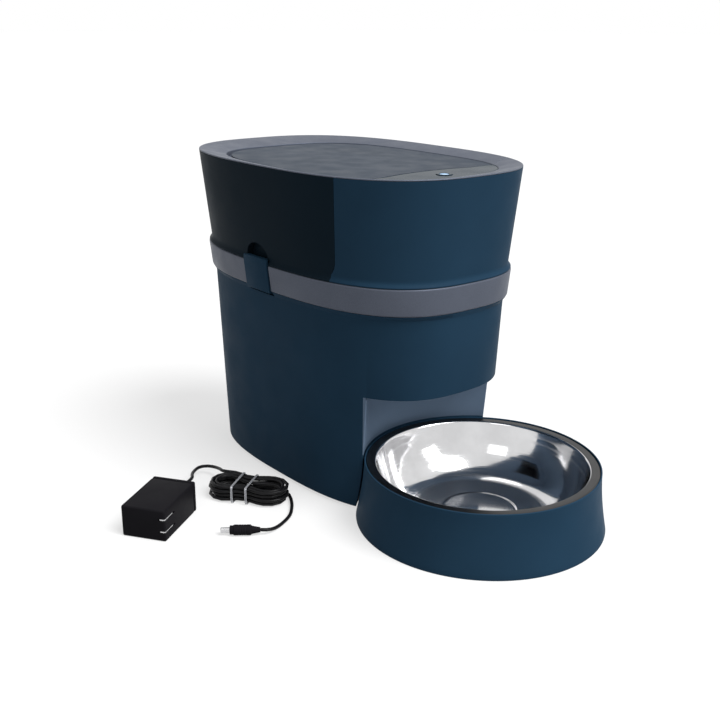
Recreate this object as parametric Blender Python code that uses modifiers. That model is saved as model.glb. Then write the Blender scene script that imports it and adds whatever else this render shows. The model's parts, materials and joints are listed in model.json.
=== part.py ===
"""Automatic pet food dispenser with a lift-off hopper, a belt conveyor, a bowl in its holder and a power adapter.

Metres, +Z up, +X from the housing towards the bowl. The origin is on the floor, midway between the back of the
housing and the front of the bowl holder. Pieces are drawn about the housing's own centre line, which the empty
named feeder carries.
"""

import math

import bmesh
import bpy
import numpy as np
from mathutils import Matrix, Vector

# Housing outline: a superellipse whose half sizes change with height
HEIGHT = 0.335
BAND_TOP = 0.235
BAND_BOTTOM = 0.208
TOP_HALF_LENGTH = 0.1845
TOP_HALF_WIDTH = 0.1235
BAND_TOP_HALF_LENGTH = 0.1775
BAND_TOP_HALF_WIDTH = 0.1115
BAND_BOTTOM_HALF_LENGTH = 0.1760
BAND_BOTTOM_HALF_WIDTH = 0.1080
FLOOR_HALF_LENGTH = 0.1685
FLOOR_HALF_WIDTH = 0.0995
OUTLINE_POWER = 2.78
OUTLINE_SIDES = 56

# Walls and fits shared by all mouldings
WALL = 0.0025
CLEARANCE = 0.0003
CUT_OVERRUN = 0.005
PIN_CLEARANCE = 0.0003

# Lower housing
HOUSING_BOTTOM = 0.0024
HOUSING_EDGE = 0.0015
SHOULDER_BOTTOM = 0.2035
SHOULDER_OUT = 0.0026
SHOULDER_LIP = 0.0004
NECK_INSET = 0.0030
DECK_BOTTOM = 0.196
DECK_THICKNESS = 0.003
DECK_LEDGE = 0.0085
DECK_HOLE_CLEARANCE = 0.0020
DECK_LEDGE_HEIGHT = 0.0045
DECK_LEDGE_SLOPE = 0.006

# Bowl holder and the niche that it stands in
BOWL_X = 0.2028
HOLDER_HEIGHT = 0.0614
HOLDER_RIM_RADIUS = 0.1146
HOLDER_FLARE = 0.0080
HOLDER_FLARE_POWER = 1.7
HOLDER_LIP = 0.0014
HOLDER_LIP_DEPTH = 0.0024
HOLDER_SEAT_RADIUS = 0.1045
HOLDER_SEAT_FALL = 0.0010
HOLDER_COLLAR_DEPTH = 0.008
HOLDER_FOOT_EDGE = 0.0012
HOLDER_SIDES = 44
NICHE_CLEARANCE = 0.0012
NICHE_TOP = 0.123
NICHE_TOP_LEAN = 0.0030
NICHE_SIDES = 64

# Pressed steel bowl
BOWL_SHEET = 0.0009
BOWL_FLANGE_EDGE = 0.0013
BOWL_MOUTH_RADIUS = 0.1030
BOWL_FLOOR_RADIUS = 0.0600
BOWL_FLOOR_HEIGHT = 0.0080
BOWL_RING_RADIUS = 0.0350
BOWL_RING_RISE = 0.0018
BOWL_RING_SLOPE = 0.0030
BOWL_SIDES = 38

# Silver band and the two latches that cross it
BAND_OUT = 0.0035
BAND_EDGE = 0.0010
LATCH_X = -0.0120
LATCH_WIDTH = 0.0400
LATCH_GAP = 0.0020
LATCH_BOTTOM = 0.2060
LATCH_TOP = 0.2410
LATCH_PROUD = 0.0013
LATCH_THICKNESS = 0.0034
LATCH_EDGE = 0.0012
LATCH_BARREL_RADIUS = 0.0029
LATCH_BARREL_SIDES = 16
LATCH_PIN_RADIUS = 0.0012
LATCH_PIN_HEIGHT = 0.2110
LATCH_PIN_IN_BAND = 0.0040
LATCH_PIN_OUT = 0.0006
LATCH_HOOK_REACH = 0.0024
LATCH_HOOK_HEIGHT = 0.0030
LATCH_HOOK_WIDTH = 0.0330
LATCH_POCKET_DEPTH = 0.0036
LATCH_POCKET_BELOW = 0.0030
LATCH_WEB_OUT = 0.0008
LATCH_WEB_GAP = 0.0010
FINGER_NOTCH_WIDTH = 0.0370
FINGER_NOTCH_TOP = 0.2550
FINGER_NOTCH_DEPTH = 0.0075

# Hopper and front shell above the band
SHELL_BOTTOM = BAND_TOP + CLEARANCE
SHELL_TOP = 0.3332
SKIRT_OUT = 0.0030
SKIRT_FACE = 0.0010
SKIRT_TOP = 0.2397
BULKHEAD_X = 0.1096
SEAM_LOW_X = 0.1035
SEAM_TOP_X = 0.1109
SEAM_CORNER_RADIUS = 0.0220
SEAM_WEB_END = 0.0150
BIN_FLOOR = 0.0027
BIN_FRONT_TOP = 0.3220
FUNNEL_OUTLET_X = -0.0250
FUNNEL_OUTLET_HALF_LENGTH = 0.0395
FUNNEL_OUTLET_HALF_WIDTH = 0.0350
FUNNEL_OUTLET_POWER = 6.0
FUNNEL_OUTLET_Z = 0.1690
FUNNEL_NECK_Z = 0.1770
FUNNEL_TOP_X = -0.0320
FUNNEL_TOP_HALF_LENGTH = 0.1270
FUNNEL_TOP_HALF_WIDTH = 0.0985
FUNNEL_TOP_POWER = 2.8

# Rim, lid and front cap on top
RIM_CROWN_DROP = 0.0006
RIM_CROWN = 0.0010
RIM_INNER_DROP = 0.0050
RIM_UNDER_INSET = 0.0032
OPENING_X = 0.0065
OPENING_HALF_LENGTH = 0.1495
OPENING_HALF_WIDTH = 0.1000
OPENING_POWER = 3.2
LEDGE_Z = 0.3245
LEDGE_THICKNESS = 0.0020
LEDGE_REACH = 0.0100
LEDGE_REAR_REACH = 0.0180
LEDGE_ROOT = 0.0020
HINGE_RELIEF_BACK = 0.0060
HINGE_RELIEF_FRONT = 0.0056
RIM_SEAM_OUTER_X = 0.1120
RIM_SEAM_OUTER_Y = 0.1115
RIM_SEAM_INNER_X = 0.1171
RIM_SEAM_INNER_Y = 0.0850
LID_THICKNESS = 0.0032
LID_SINK = 0.0003
LID_SIDE_GAP = 0.0014
LID_FRONT_GAP = 0.0016
LID_FINGER_GAP = 0.0090
LID_FRONT_X = 0.1160
LID_HINGE_X = 0.1120
LID_HINGE_DROP = 0.0011
LID_PIN_RADIUS = 0.0008
LID_PIN_REACH = 0.0030
LID_PIN_ROOT = 0.0040
LID_HOLE_SPARE = 0.0006
SEAL_INSET = 0.0025
SEAL_WIDTH = 0.0040
SEAL_THICKNESS = 0.0014
SEAL_FRONT_X = 0.1040

# Control panel, its button and its board
PANEL_THICKNESS = 0.0050
PANEL_BACK_X = 0.1096
PANEL_BACK_RADIUS = 0.2210
PANEL_BACK_SIDES = 111
PANEL_BACK_EDGE = 0.0010
PANEL_GAP = 0.0003
BUTTON_X = 0.1360
BUTTON_RADIUS = 0.0078
BUTTON_CLEARANCE = 0.0004
BUTTON_PROUD = 0.0006
BUTTON_FLANGE = 0.0018
BUTTON_FLANGE_THICKNESS = 0.0014
BUTTON_TRAVEL = 0.0010
LIGHT_RADIUS = 0.0045
BOARD_THICKNESS = 0.0016
BOARD_DROP = 0.0080
BOARD_BACK_X = 0.1200
BOARD_FRONT_X = 0.1440
BOARD_HALF_WIDTH = 0.0320
BOARD_POST_RADIUS = 0.0020
BOARD_POST_INSET = 0.0040
SWITCH_RADIUS = 0.0040
SWITCH_GAP = 0.0003

# Belt conveyor
ROLLER_FRONT_X = 0.0700
ROLLER_REAR_X = -0.0750
ROLLER_Z = 0.1500
ROLLER_RADIUS = 0.0100
ROLLER_HALF_LENGTH = 0.0340
ROLLER_SIDES = 20
SHAFT_RADIUS = 0.0030
BELT_THICKNESS = 0.0016
BELT_HALF_WIDTH = 0.0325
BELT_FLIGHT_HEIGHT = 0.0040
BELT_FLIGHT_THICKNESS = 0.0016
BELT_FLIGHT_COUNT = 12
BELT_ARC_STEPS = 8
FRAME_WALL = 0.0025
FRAME_FLOOR_Z = 0.1310
FRAME_TOP_Z = 0.1660
FRAME_HALF_WIDTH = 0.0385
FRAME_REAR_X = -0.0920
FRAME_FRONT_X = 0.0875
FRAME_EAR_LENGTH = 0.0120
FRAME_EAR_REACH = 0.0095
FRAME_EAR_FRONT_X = 0.0060
FRAME_EAR_REAR_X = -0.0800
POST_RADIUS = 0.0040

# Chute from the belt to the niche
CHUTE_TOP_Z = 0.1700
CHUTE_BACK_TOP_X = 0.0890
CHUTE_FRONT_TOP_X = 0.1500
CHUTE_BACK_X = 0.1070
CHUTE_FRONT_X = 0.1530
CHUTE_HALF_WIDTH = 0.0380
CHUTE_MOUTH_LIP = 0.0010
CHUTE_BACK_OPEN_Z = 0.1490

# Gears and gearmotor
GEAR_MODULE = 0.0015
GEAR_TEETH = 24
PINION_TEETH = 12
GEAR_ADDENDUM_SHARE = 0.85
GEAR_DEDENDUM_SHARE = 1.20
GEAR_ROOT_HALF_SHARE = 0.27
GEAR_PITCH_HALF_SHARE = 0.205
GEAR_TIP_HALF_SHARE = 0.105
GEAR_FACE = 0.0060
GEAR_OUT_Y = 0.0440
GEAR_BORE_CLEARANCE = 0.0003
PINION_SHAFT_RADIUS = 0.0020
GEARBOX_RADIUS = 0.0150
GEARBOX_LENGTH = 0.0180
MOTOR_RADIUS = 0.0120
MOTOR_LENGTH = 0.0220
MOTOR_BOSS_RADIUS = 0.0060
MOTOR_BOSS_LENGTH = 0.0020
BRACKET_Y = 0.0525
BRACKET_THICKNESS = 0.0025
BRACKET_HALF_LENGTH = 0.0170
BRACKET_TOP_Z = 0.1660
BRACKET_HOLE_RADIUS = 0.0045

# Base plate, feet, battery bay and its door
BASE_BOTTOM = 0.0027
BASE_THICKNESS = 0.0026
FOOT_RADIUS = 0.0090
FOOT_HEIGHT = 0.0024
FOOT_SHARES = ((-0.72, 0.48), (-0.72, -0.48), (0.10, 0.74), (0.10, -0.74))
BAY_BACK_X = -0.0740
BAY_FRONT_X = 0.0520
BAY_HALF_WIDTH = 0.0350
BAY_TOP_Z = 0.0400
BAY_WALL = 0.0020
DOOR_THICKNESS = 0.0022
DOOR_GAP = 0.0005
DOOR_HINGE_INSET = 0.0020
DOOR_RECESS = 0.0003
CONTACT_THICKNESS = 0.0005
CONTACT_HALF_WIDTH = 0.0280
CONTACT_BOTTOM = 0.0100
CONTACT_TOP = 0.0340
MAIN_BOARD_BACK_X = -0.1480
MAIN_BOARD_FRONT_X = -0.0900
MAIN_BOARD_HALF_WIDTH = 0.0320
MAIN_BOARD_Z = 0.0130
CHIP_HALF_LENGTH = 0.0070
CHIP_HEIGHT = 0.0020
RELAY_HEIGHT = 0.0120
STANDOFF_RADIUS = 0.0030

# Inlet for the adapter's plug, low in the back of the housing
INLET_Y = 0.0000
INLET_Z = 0.0220
INLET_RADIUS = 0.0060
INLET_BORE_RADIUS = 0.0034
INLET_LENGTH = 0.0140
INLET_BORE_DEPTH = 0.0100
INLET_PIN_RADIUS = 0.0010
INLET_PIN_LENGTH = 0.0040
INLET_FLANGE_RADIUS = 0.0080
INLET_FLANGE_THICKNESS = 0.0015

# Power adapter on the floor beside the housing, with prongs that fold into its long side
ADAPTER_X = 0.0172
ADAPTER_Y = -0.2533
ADAPTER_TURN = math.radians(34.5)
ADAPTER_WIDTH = 0.0455
ADAPTER_LENGTH = 0.0694
ADAPTER_HEIGHT = 0.0320
ADAPTER_EDGE = 0.0016
ADAPTER_CAP = 0.0050
PRONG_SPACING = 0.0127
PRONG_WIDTH = 0.0063
PRONG_THICKNESS = 0.0015
PRONG_LENGTH = 0.0165
PRONG_SINK = 0.0006
PRONG_TIP_GAP = 0.0008
PRONG_POINT = 0.0012
PRONG_PIN_RADIUS = 0.0013
PRONG_PIN_OVER = 0.0030
PRONG_PIVOT_SIDES = 8
RELIEF_LENGTH = 0.0080
RELIEF_RADIUS = 0.0038
RELIEF_TIP_RADIUS = 0.0026
RELIEF_Z = 0.0160

# Cord, its hank and its plug
CORD_DIAMETER = 0.0035
CORD_SPACING_SHARE = 2.5
HANK_X = 0.0245
HANK_Y = -0.1550
HANK_TURN = math.radians(35.0)
HANK_RUN = 0.0450
HANK_INNER_RADIUS = 0.0110
HANK_PITCH = 0.0044
HANK_LAYER = 0.0042
HANK_LAYERS = 4
HANK_LOOPS_PER_LAYER = 2
HANK_LOOP_STEPS = 24
HANK_LIFT = 0.0016
HANK_WAIST = 0.0055
HANK_WAIST_SHARE = -0.08
TIE_RADIUS = 0.0005
TIE_GAP = 0.0004
TIE_SPREAD = 0.0190
PLUG_Z = 0.0053
PLUG_X = 0.0983
PLUG_Y = -0.1908
PLUG_TURN = math.radians(232.6)
PLUG_GRIP_LENGTH = 0.0180
PLUG_GRIP_RADIUS = 0.0052
PLUG_NECK_LENGTH = 0.0080
PLUG_NECK_RADIUS = 0.0040
PLUG_TAIL_RADIUS = 0.0025
PLUG_NOSE_RADIUS = 0.0044
PLUG_NOSE_LENGTH = 0.0030
BARREL_RADIUS = 0.00275
BARREL_BORE_RADIUS = 0.00125
BARREL_LENGTH = 0.0085

RIGHT_ANGLE = math.pi / 2
ROUND_SIDES = 24
SMALL_SIDES = 12
MERGE_DISTANCE = 0.00001
SHARP_ANGLE = math.radians(35)
BODY_X = -(BOWL_X + HOLDER_RIM_RADIUS + HOLDER_FLARE - TOP_HALF_LENGTH) / 2

AXIS_TURNS = {
    "Z": Matrix.Identity(4),
    "X": Matrix.Rotation(RIGHT_ANGLE, 4, "Y"),
    "Y": Matrix.Rotation(-RIGHT_ANGLE, 4, "X"),
}
PLANE_TURNS = {
    "XY": (Matrix.Identity(4), Vector((0, 0, 1))),
    "XZ": (Matrix.Rotation(RIGHT_ANGLE, 4, "X"), Vector((0, 1, 0))),
    "YZ": (Matrix(((0, 0, 1, 0), (1, 0, 0, 0), (0, 1, 0, 0), (0, 0, 0, 1))), Vector((1, 0, 0))),
}


# Scene, collections and materials
def clear_scene():
    for obj in list(bpy.data.objects):
        bpy.data.objects.remove(obj)


def new_collection(name):
    collection = bpy.data.collections.new(name)
    bpy.context.scene.collection.children.link(collection)
    return collection


def new_empty(name, location, parent=None):
    empty = bpy.data.objects.new(name, None)
    empty.location = location
    empty.parent = parent
    PARTS.objects.link(empty)
    return empty


def new_material(name, colour, roughness, metallic=0.0, alpha=1.0):
    material = bpy.data.materials.new(name)
    material.use_nodes = True
    shader = material.node_tree.nodes["Principled BSDF"]
    shader.inputs["Base Color"].default_value = (*colour, 1)
    shader.inputs["Roughness"].default_value = roughness
    shader.inputs["Metallic"].default_value = metallic
    shader.inputs["Alpha"].default_value = alpha
    material.diffuse_color = (*colour, alpha)
    return material


def make_materials():
    return {
        "navy": new_material("navy_plastic", (0.016, 0.040, 0.072), 0.42),
        "tinted": new_material("tinted_plastic", (0.012, 0.016, 0.024), 0.18, alpha=0.85),
        "silver": new_material("silver_paint", (0.23, 0.24, 0.28), 0.35, 0.6),
        "lid": new_material("lid_plastic", (0.085, 0.105, 0.140), 0.30),
        "panel": new_material("panel_gloss", (0.030, 0.045, 0.065), 0.12),
        "light": new_material("status_lens", (0.45, 0.70, 0.95), 0.20),
        "steel": new_material("steel", (0.62, 0.62, 0.62), 0.12, 1.0),
        "black": new_material("black_plastic", (0.020, 0.020, 0.022), 0.45),
        "rubber": new_material("rubber", (0.015, 0.015, 0.015), 0.80),
        "frame": new_material("frame_plastic", (0.060, 0.065, 0.070), 0.50),
        "acetal": new_material("gear_acetal", (0.75, 0.74, 0.70), 0.35),
        "board": new_material("circuit_board", (0.012, 0.110, 0.045), 0.40),
        "cord": new_material("cord_jacket", (0.018, 0.018, 0.020), 0.50),
        "tie": new_material("tie_wire", (0.45, 0.45, 0.47), 0.40),
    }


# Shapes
def add_object(name, mesh, tool=False):
    obj = bpy.data.objects.new(name, mesh)
    obj.parent = FEEDER
    if tool:
        CUTTERS.objects.link(obj)
        obj.hide_render = True
        obj.display_type = "WIRE"
    else:
        PARTS.objects.link(obj)
    return obj


def mesh_from(bm, name):
    bmesh.ops.recalc_face_normals(bm, faces=bm.faces)
    mesh = bpy.data.meshes.new(name)
    bm.to_mesh(mesh)
    bm.free()
    return mesh


def superellipse(half_length, half_width, power, centre_x=0.0, sides=OUTLINE_SIDES):
    """Outline points, anticlockwise from the front."""
    points = []
    for i in range(sides):
        angle = 2 * math.pi * i / sides
        c, s = math.cos(angle), math.sin(angle)
        x = centre_x + half_length * math.copysign(abs(c) ** (2 / power), c)
        y = half_width * math.copysign(abs(s) ** (2 / power), s)
        points.append((x, y))
    return points


def circle(radius, centre_x=0.0, sides=ROUND_SIDES):
    return superellipse(radius, radius, 2.0, centre_x, sides)


def half_sizes(z):
    """Half length and half width of the housing at height z."""
    heights = (0.0, BAND_BOTTOM, BAND_TOP, HEIGHT)
    lengths = (FLOOR_HALF_LENGTH, BAND_BOTTOM_HALF_LENGTH, BAND_TOP_HALF_LENGTH, TOP_HALF_LENGTH)
    widths = (FLOOR_HALF_WIDTH, BAND_BOTTOM_HALF_WIDTH, BAND_TOP_HALF_WIDTH, TOP_HALF_WIDTH)
    return float(np.interp(z, heights, lengths)), float(np.interp(z, heights, widths))


def housing_ring(z, inset=0.0):
    """The housing's outline at height z, drawn in by inset, as points in space."""
    half_length, half_width = half_sizes(z)
    return ring_at(superellipse(half_length - inset, half_width - inset, OUTLINE_POWER), z)


def ring_at(points, z):
    return [(x, y, z) for x, y in points]


def loft(name, rings, hollow=False, tool=False):
    """A solid through rings with equal point counts, bottom first; a hollow one closes back on its first ring."""
    bm = bmesh.new()
    loops = [[bm.verts.new(point) for point in ring] for ring in rings]
    pairs = list(zip(loops, loops[1:]))
    if hollow:
        pairs.append((loops[-1], loops[0]))
    else:
        bm.faces.new(loops[0])
        bm.faces.new(loops[-1])
    for lower, upper in pairs:
        for i, vertex in enumerate(lower):
            j = (i + 1) % len(lower)
            bm.faces.new((vertex, lower[j], upper[j], upper[i]))
    return add_object(name, mesh_from(bm, name), tool)


def block(name, low, high, tool=False):
    bm = bmesh.new()
    bmesh.ops.create_cube(bm, size=1)
    low, high = Vector(low), Vector(high)
    size = high - low
    bmesh.ops.scale(bm, vec=size, verts=bm.verts)
    bmesh.ops.translate(bm, vec=(low + high) / 2, verts=bm.verts)
    return add_object(name, mesh_from(bm, name), tool)


def rod(name, radius, start, length, axis="Z", sides=ROUND_SIDES, tool=False):
    """A cylinder from the point start along an axis."""
    bm = bmesh.new()
    bmesh.ops.create_cone(bm, cap_ends=True, segments=sides, radius1=radius, radius2=radius, depth=length)
    turn = AXIS_TURNS[axis]
    offset = Vector(start) + turn @ Vector((0, 0, length / 2))
    bmesh.ops.transform(bm, matrix=Matrix.Translation(offset) @ turn, verts=bm.verts)
    return add_object(name, mesh_from(bm, name), tool)


def curve_mesh(curve):
    """The curve object's evaluated mesh with its caps welded; the curve is removed."""
    bpy.context.view_layer.update()
    evaluated = curve.evaluated_get(bpy.context.evaluated_depsgraph_get())
    mesh = bpy.data.meshes.new_from_object(evaluated)
    bm = bmesh.new()
    bm.from_mesh(mesh)
    bmesh.ops.remove_doubles(bm, verts=bm.verts, dist=MERGE_DISTANCE)
    bmesh.ops.recalc_face_normals(bm, faces=bm.faces)
    bm.to_mesh(mesh)
    bm.free()
    bpy.data.objects.remove(curve)
    return mesh


def plate(name, outlines, low, high, plane="XY", tool=False):
    """A flat outline, with any further outlines as holes, filled and extruded from low to high."""
    data = bpy.data.curves.new(name, "CURVE")
    data.dimensions = "2D"
    data.fill_mode = "BOTH"
    data.extrude = (high - low) / 2
    for outline in outlines:
        spline = data.splines.new("POLY")
        spline.points.add(len(outline) - 1)
        for point, (u, v) in zip(spline.points, outline):
            point.co = (u, v, 0, 1)
        spline.use_cyclic_u = True
    curve = bpy.data.objects.new(name, data)
    PARTS.objects.link(curve)
    mesh = curve_mesh(curve)
    turn, normal = PLANE_TURNS[plane]
    mesh.transform(Matrix.Translation(normal * (low + high) / 2) @ turn)
    return add_object(name, mesh, tool)


def turned(name, profile, sides=ROUND_SIDES, closed=False, tool=False):
    """A profile of (radius, height), down its outer side, turned about its own Z by a Screw modifier."""
    mesh = bpy.data.meshes.new(name)
    edges = [(i, i + 1) for i in range(len(profile) - 1)]
    if closed:
        edges.append((len(profile) - 1, 0))
    mesh.from_pydata([(r, 0, z) for r, z in profile], edges, [])
    obj = add_object(name, mesh, tool)
    screw = obj.modifiers.new("turn", "SCREW")
    screw.axis = "Z"
    screw.steps = sides
    screw.render_steps = sides
    screw.use_merge_vertices = True
    screw.merge_threshold = MERGE_DISTANCE
    screw.use_smooth_shade = False
    return obj


def tube(name, points, radius, resolution):
    """A round cord along points, with filled and welded ends."""
    data = bpy.data.curves.new(name, "CURVE")
    data.dimensions = "3D"
    data.fill_mode = "FULL"
    data.bevel_depth = radius
    data.bevel_resolution = resolution
    data.use_fill_caps = True
    spline = data.splines.new("POLY")
    spline.points.add(len(points) - 1)
    for point, place in zip(spline.points, points):
        point.co = (*place, 1)
    curve = bpy.data.objects.new(name, data)
    PARTS.objects.link(curve)
    return add_object(name, curve_mesh(curve))


def combine(target, operand, operation):
    modifier = target.modifiers.new(operand.name, "BOOLEAN")
    modifier.operation = operation
    modifier.solver = "EXACT"
    modifier.object = operand
    return target


def cut(target, *operands):
    for operand in operands:
        combine(target, operand, "DIFFERENCE")
    return target


def join(target, *operands):
    for operand in operands:
        combine(target, operand, "UNION")
    return target


def keep(target, operand):
    return combine(target, operand, "INTERSECT")


def rounded(obj, width, segments=2):
    bevel = obj.modifiers.new("edges", "BEVEL")
    bevel.width = width
    bevel.segments = segments
    bevel.limit_method = "ANGLE"
    return obj


def finish(obj, material, smooth=True):
    obj.data.materials.clear()
    obj.data.materials.append(MATERIALS[material])
    if smooth and obj.data.polygons:
        obj.data.shade_smooth()
        obj.data.set_sharp_from_angle(angle=SHARP_ANGLE)
    return obj


def hang_on(pivot, *pieces):
    """Puts pieces on a pivot's empty without moving them."""
    for piece in pieces:
        piece.parent = pivot
        piece.matrix_parent_inverse = Matrix.Translation(pivot.location).inverted()


# Lower housing with the niche for the bowl
def holder_radius(z):
    """Outer radius of the bowl holder, which flares towards the floor."""
    fall = max(0.0, 1 - z / HOLDER_HEIGHT)
    return HOLDER_RIM_RADIUS + HOLDER_FLARE * fall**HOLDER_FLARE_POWER


def niche_solid(name, grow, top, tool=True):
    """The room that the bowl holder stands in: it follows the holder's flare and leans in above it."""
    rings = [ring_at(circle(holder_radius(0) + NICHE_CLEARANCE + grow, BOWL_X, NICHE_SIDES), -CUT_OVERRUN)]
    for share in HOLDER_HEIGHT_SHARES:
        z = HOLDER_HEIGHT * share
        rings.append(ring_at(circle(holder_radius(z) + NICHE_CLEARANCE + grow, BOWL_X, NICHE_SIDES), z))
    top_radius = HOLDER_RIM_RADIUS + NICHE_CLEARANCE - NICHE_TOP_LEAN + grow
    rings.append(ring_at(circle(top_radius, BOWL_X, NICHE_SIDES), top))
    return loft(name, rings, tool=tool)


HOLDER_HEIGHT_SHARES = (0.0, 0.2, 0.5, 1.0)


def latch_box(name, low, high, depth, side, tool=True):
    """A block round one latch, from depth inside the housing's side to well outside it."""
    half = LATCH_WIDTH / 2 + LATCH_GAP
    inner = half_sizes(BAND_BOTTOM)[1] - depth
    outer = TOP_HALF_WIDTH + CUT_OVERRUN
    y_low, y_high = sorted((side * inner, side * outer))
    return block(name, (LATCH_X - half, y_low, low), (LATCH_X + half, y_high, high), tool)


def make_lower_housing():
    housing = loft("lower_housing", [
        housing_ring(HOUSING_BOTTOM, HOUSING_EDGE),
        housing_ring(HOUSING_BOTTOM + HOUSING_EDGE),
        housing_ring(SHOULDER_BOTTOM),
        housing_ring(BAND_BOTTOM - SHOULDER_LIP, -SHOULDER_OUT),
        housing_ring(BAND_BOTTOM, -SHOULDER_OUT),
        housing_ring(BAND_BOTTOM, NECK_INSET),
        housing_ring(BAND_TOP, NECK_INSET),
    ])
    ledge_top = DECK_BOTTOM - CLEARANCE
    shelf = BAND_BOTTOM - WALL
    cavity = loft("housing_cavity", [
        housing_ring(-CUT_OVERRUN, WALL),
        housing_ring(ledge_top - DECK_LEDGE_HEIGHT - DECK_LEDGE_SLOPE, WALL),
        housing_ring(ledge_top - DECK_LEDGE_HEIGHT, DECK_LEDGE),
        housing_ring(ledge_top, DECK_LEDGE),
        housing_ring(ledge_top, WALL),
        housing_ring(shelf, WALL),
        housing_ring(shelf, NECK_INSET + WALL),
        housing_ring(BAND_TOP + CUT_OVERRUN, NECK_INSET + WALL),
    ], tool=True)
    cut(cavity, niche_solid("niche_wall", WALL, NICHE_TOP + WALL))
    for side in (-1, 1):
        pocket_low = LATCH_BOTTOM - LATCH_POCKET_BELOW
        boss = latch_box(f"latch_boss_{side}", pocket_low - WALL, LATCH_TOP, LATCH_POCKET_DEPTH + WALL, side)
        cut(cavity, boss)
    cut(housing, cavity, niche_solid("niche_room", 0.0, NICHE_TOP))
    for side in (-1, 1):
        pocket_low = LATCH_BOTTOM - LATCH_POCKET_BELOW
        cut(housing, latch_box(f"latch_pocket_{side}", pocket_low, LATCH_TOP, LATCH_POCKET_DEPTH, side))
    mouth = CHUTE_HALF_WIDTH - FRAME_WALL - CHUTE_MOUTH_LIP
    cut(housing, block(
        "chute_mouth",
        (CHUTE_BACK_X + FRAME_WALL + CHUTE_MOUTH_LIP, -mouth, NICHE_TOP - CUT_OVERRUN),
        (CHUTE_FRONT_X - FRAME_WALL - CHUTE_MOUTH_LIP, mouth, NICHE_TOP + WALL + CUT_OVERRUN),
        tool=True,
    ))
    hole_radius = INLET_RADIUS + CLEARANCE
    cut(housing, rod(
        "inlet_hole", hole_radius, (-FLOOR_HALF_LENGTH - CUT_OVERRUN * 2, INLET_Y, INLET_Z),
        CUT_OVERRUN * 4, "X", SMALL_SIDES, tool=True,
    ))
    return finish(housing, "navy")


def make_deck():
    """The shelf inside the neck, with a hole that the hopper's funnel hangs through."""
    share = (DECK_BOTTOM + DECK_THICKNESS - FUNNEL_NECK_Z) / (SHELL_BOTTOM - FUNNEL_NECK_Z)
    outlet, mouth = funnel_outlines(-DECK_HOLE_CLEARANCE)
    inside = [(a + share * (c - a), b + share * (d - b)) for (a, b), (c, d) in zip(outlet, mouth)]
    half_length_out, half_width_out = half_sizes(DECK_BOTTOM)
    inset = NECK_INSET + WALL + CLEARANCE
    outside = superellipse(half_length_out - inset, half_width_out - inset, OUTLINE_POWER)
    return finish(plate("inner_deck", [outside, inside], DECK_BOTTOM, DECK_BOTTOM + DECK_THICKNESS), "frame")


def band_gap(side):
    """The gap for a latch: right through the band round the latch's barrel, with a web behind its plate above."""
    deep = half_sizes(BAND_BOTTOM)[1] - NECK_INSET * 2
    wide = TOP_HALF_WIDTH + CUT_OVERRUN
    web_low = LATCH_PIN_HEIGHT + LATCH_BARREL_RADIUS + LATCH_WEB_GAP
    web_top = half_sizes(BAND_TOP)[1] + LATCH_WEB_OUT
    profile = [
        (deep, BAND_BOTTOM - CUT_OVERRUN),
        (wide, BAND_BOTTOM - CUT_OVERRUN),
        (wide, BAND_TOP + CUT_OVERRUN),
        (web_top, BAND_TOP + CUT_OVERRUN),
        (web_top, BAND_TOP),
        (half_sizes(web_low)[1] + LATCH_WEB_OUT, web_low),
        (deep, web_low),
    ]
    half = LATCH_WIDTH / 2 + LATCH_GAP
    outline = [(side * y, z) for y, z in profile]
    return plate(f"band_gap_{side}", [outline], LATCH_X - half, LATCH_X + half, "YZ", tool=True)


def make_trim_band():
    low = BAND_BOTTOM + CLEARANCE
    inner = NECK_INSET - CLEARANCE
    band = loft("trim_band", [
        housing_ring(low, -SHOULDER_OUT),
        housing_ring(low + BAND_EDGE, -BAND_OUT),
        housing_ring(BAND_TOP - BAND_EDGE, -BAND_OUT),
        housing_ring(BAND_TOP, -BAND_OUT + BAND_EDGE),
        housing_ring(BAND_TOP, inner),
        housing_ring(low, inner),
    ], hollow=True)
    for side in (-1, 1):
        cut(band, band_gap(side))
        reach = LATCH_WIDTH / 2 + LATCH_GAP + LATCH_PIN_IN_BAND + PIN_CLEARANCE
        cut(band, rod(
            f"band_pin_hole_{side}", LATCH_PIN_RADIUS + PIN_CLEARANCE,
            (LATCH_X - reach, side * latch_pin_y(), LATCH_PIN_HEIGHT), reach * 2, "X", SMALL_SIDES, tool=True,
        ))
    return finish(band, "silver")


# Latches at both sides
def latch_pin_y():
    return half_sizes(LATCH_PIN_HEIGHT)[1] + LATCH_PIN_OUT


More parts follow.
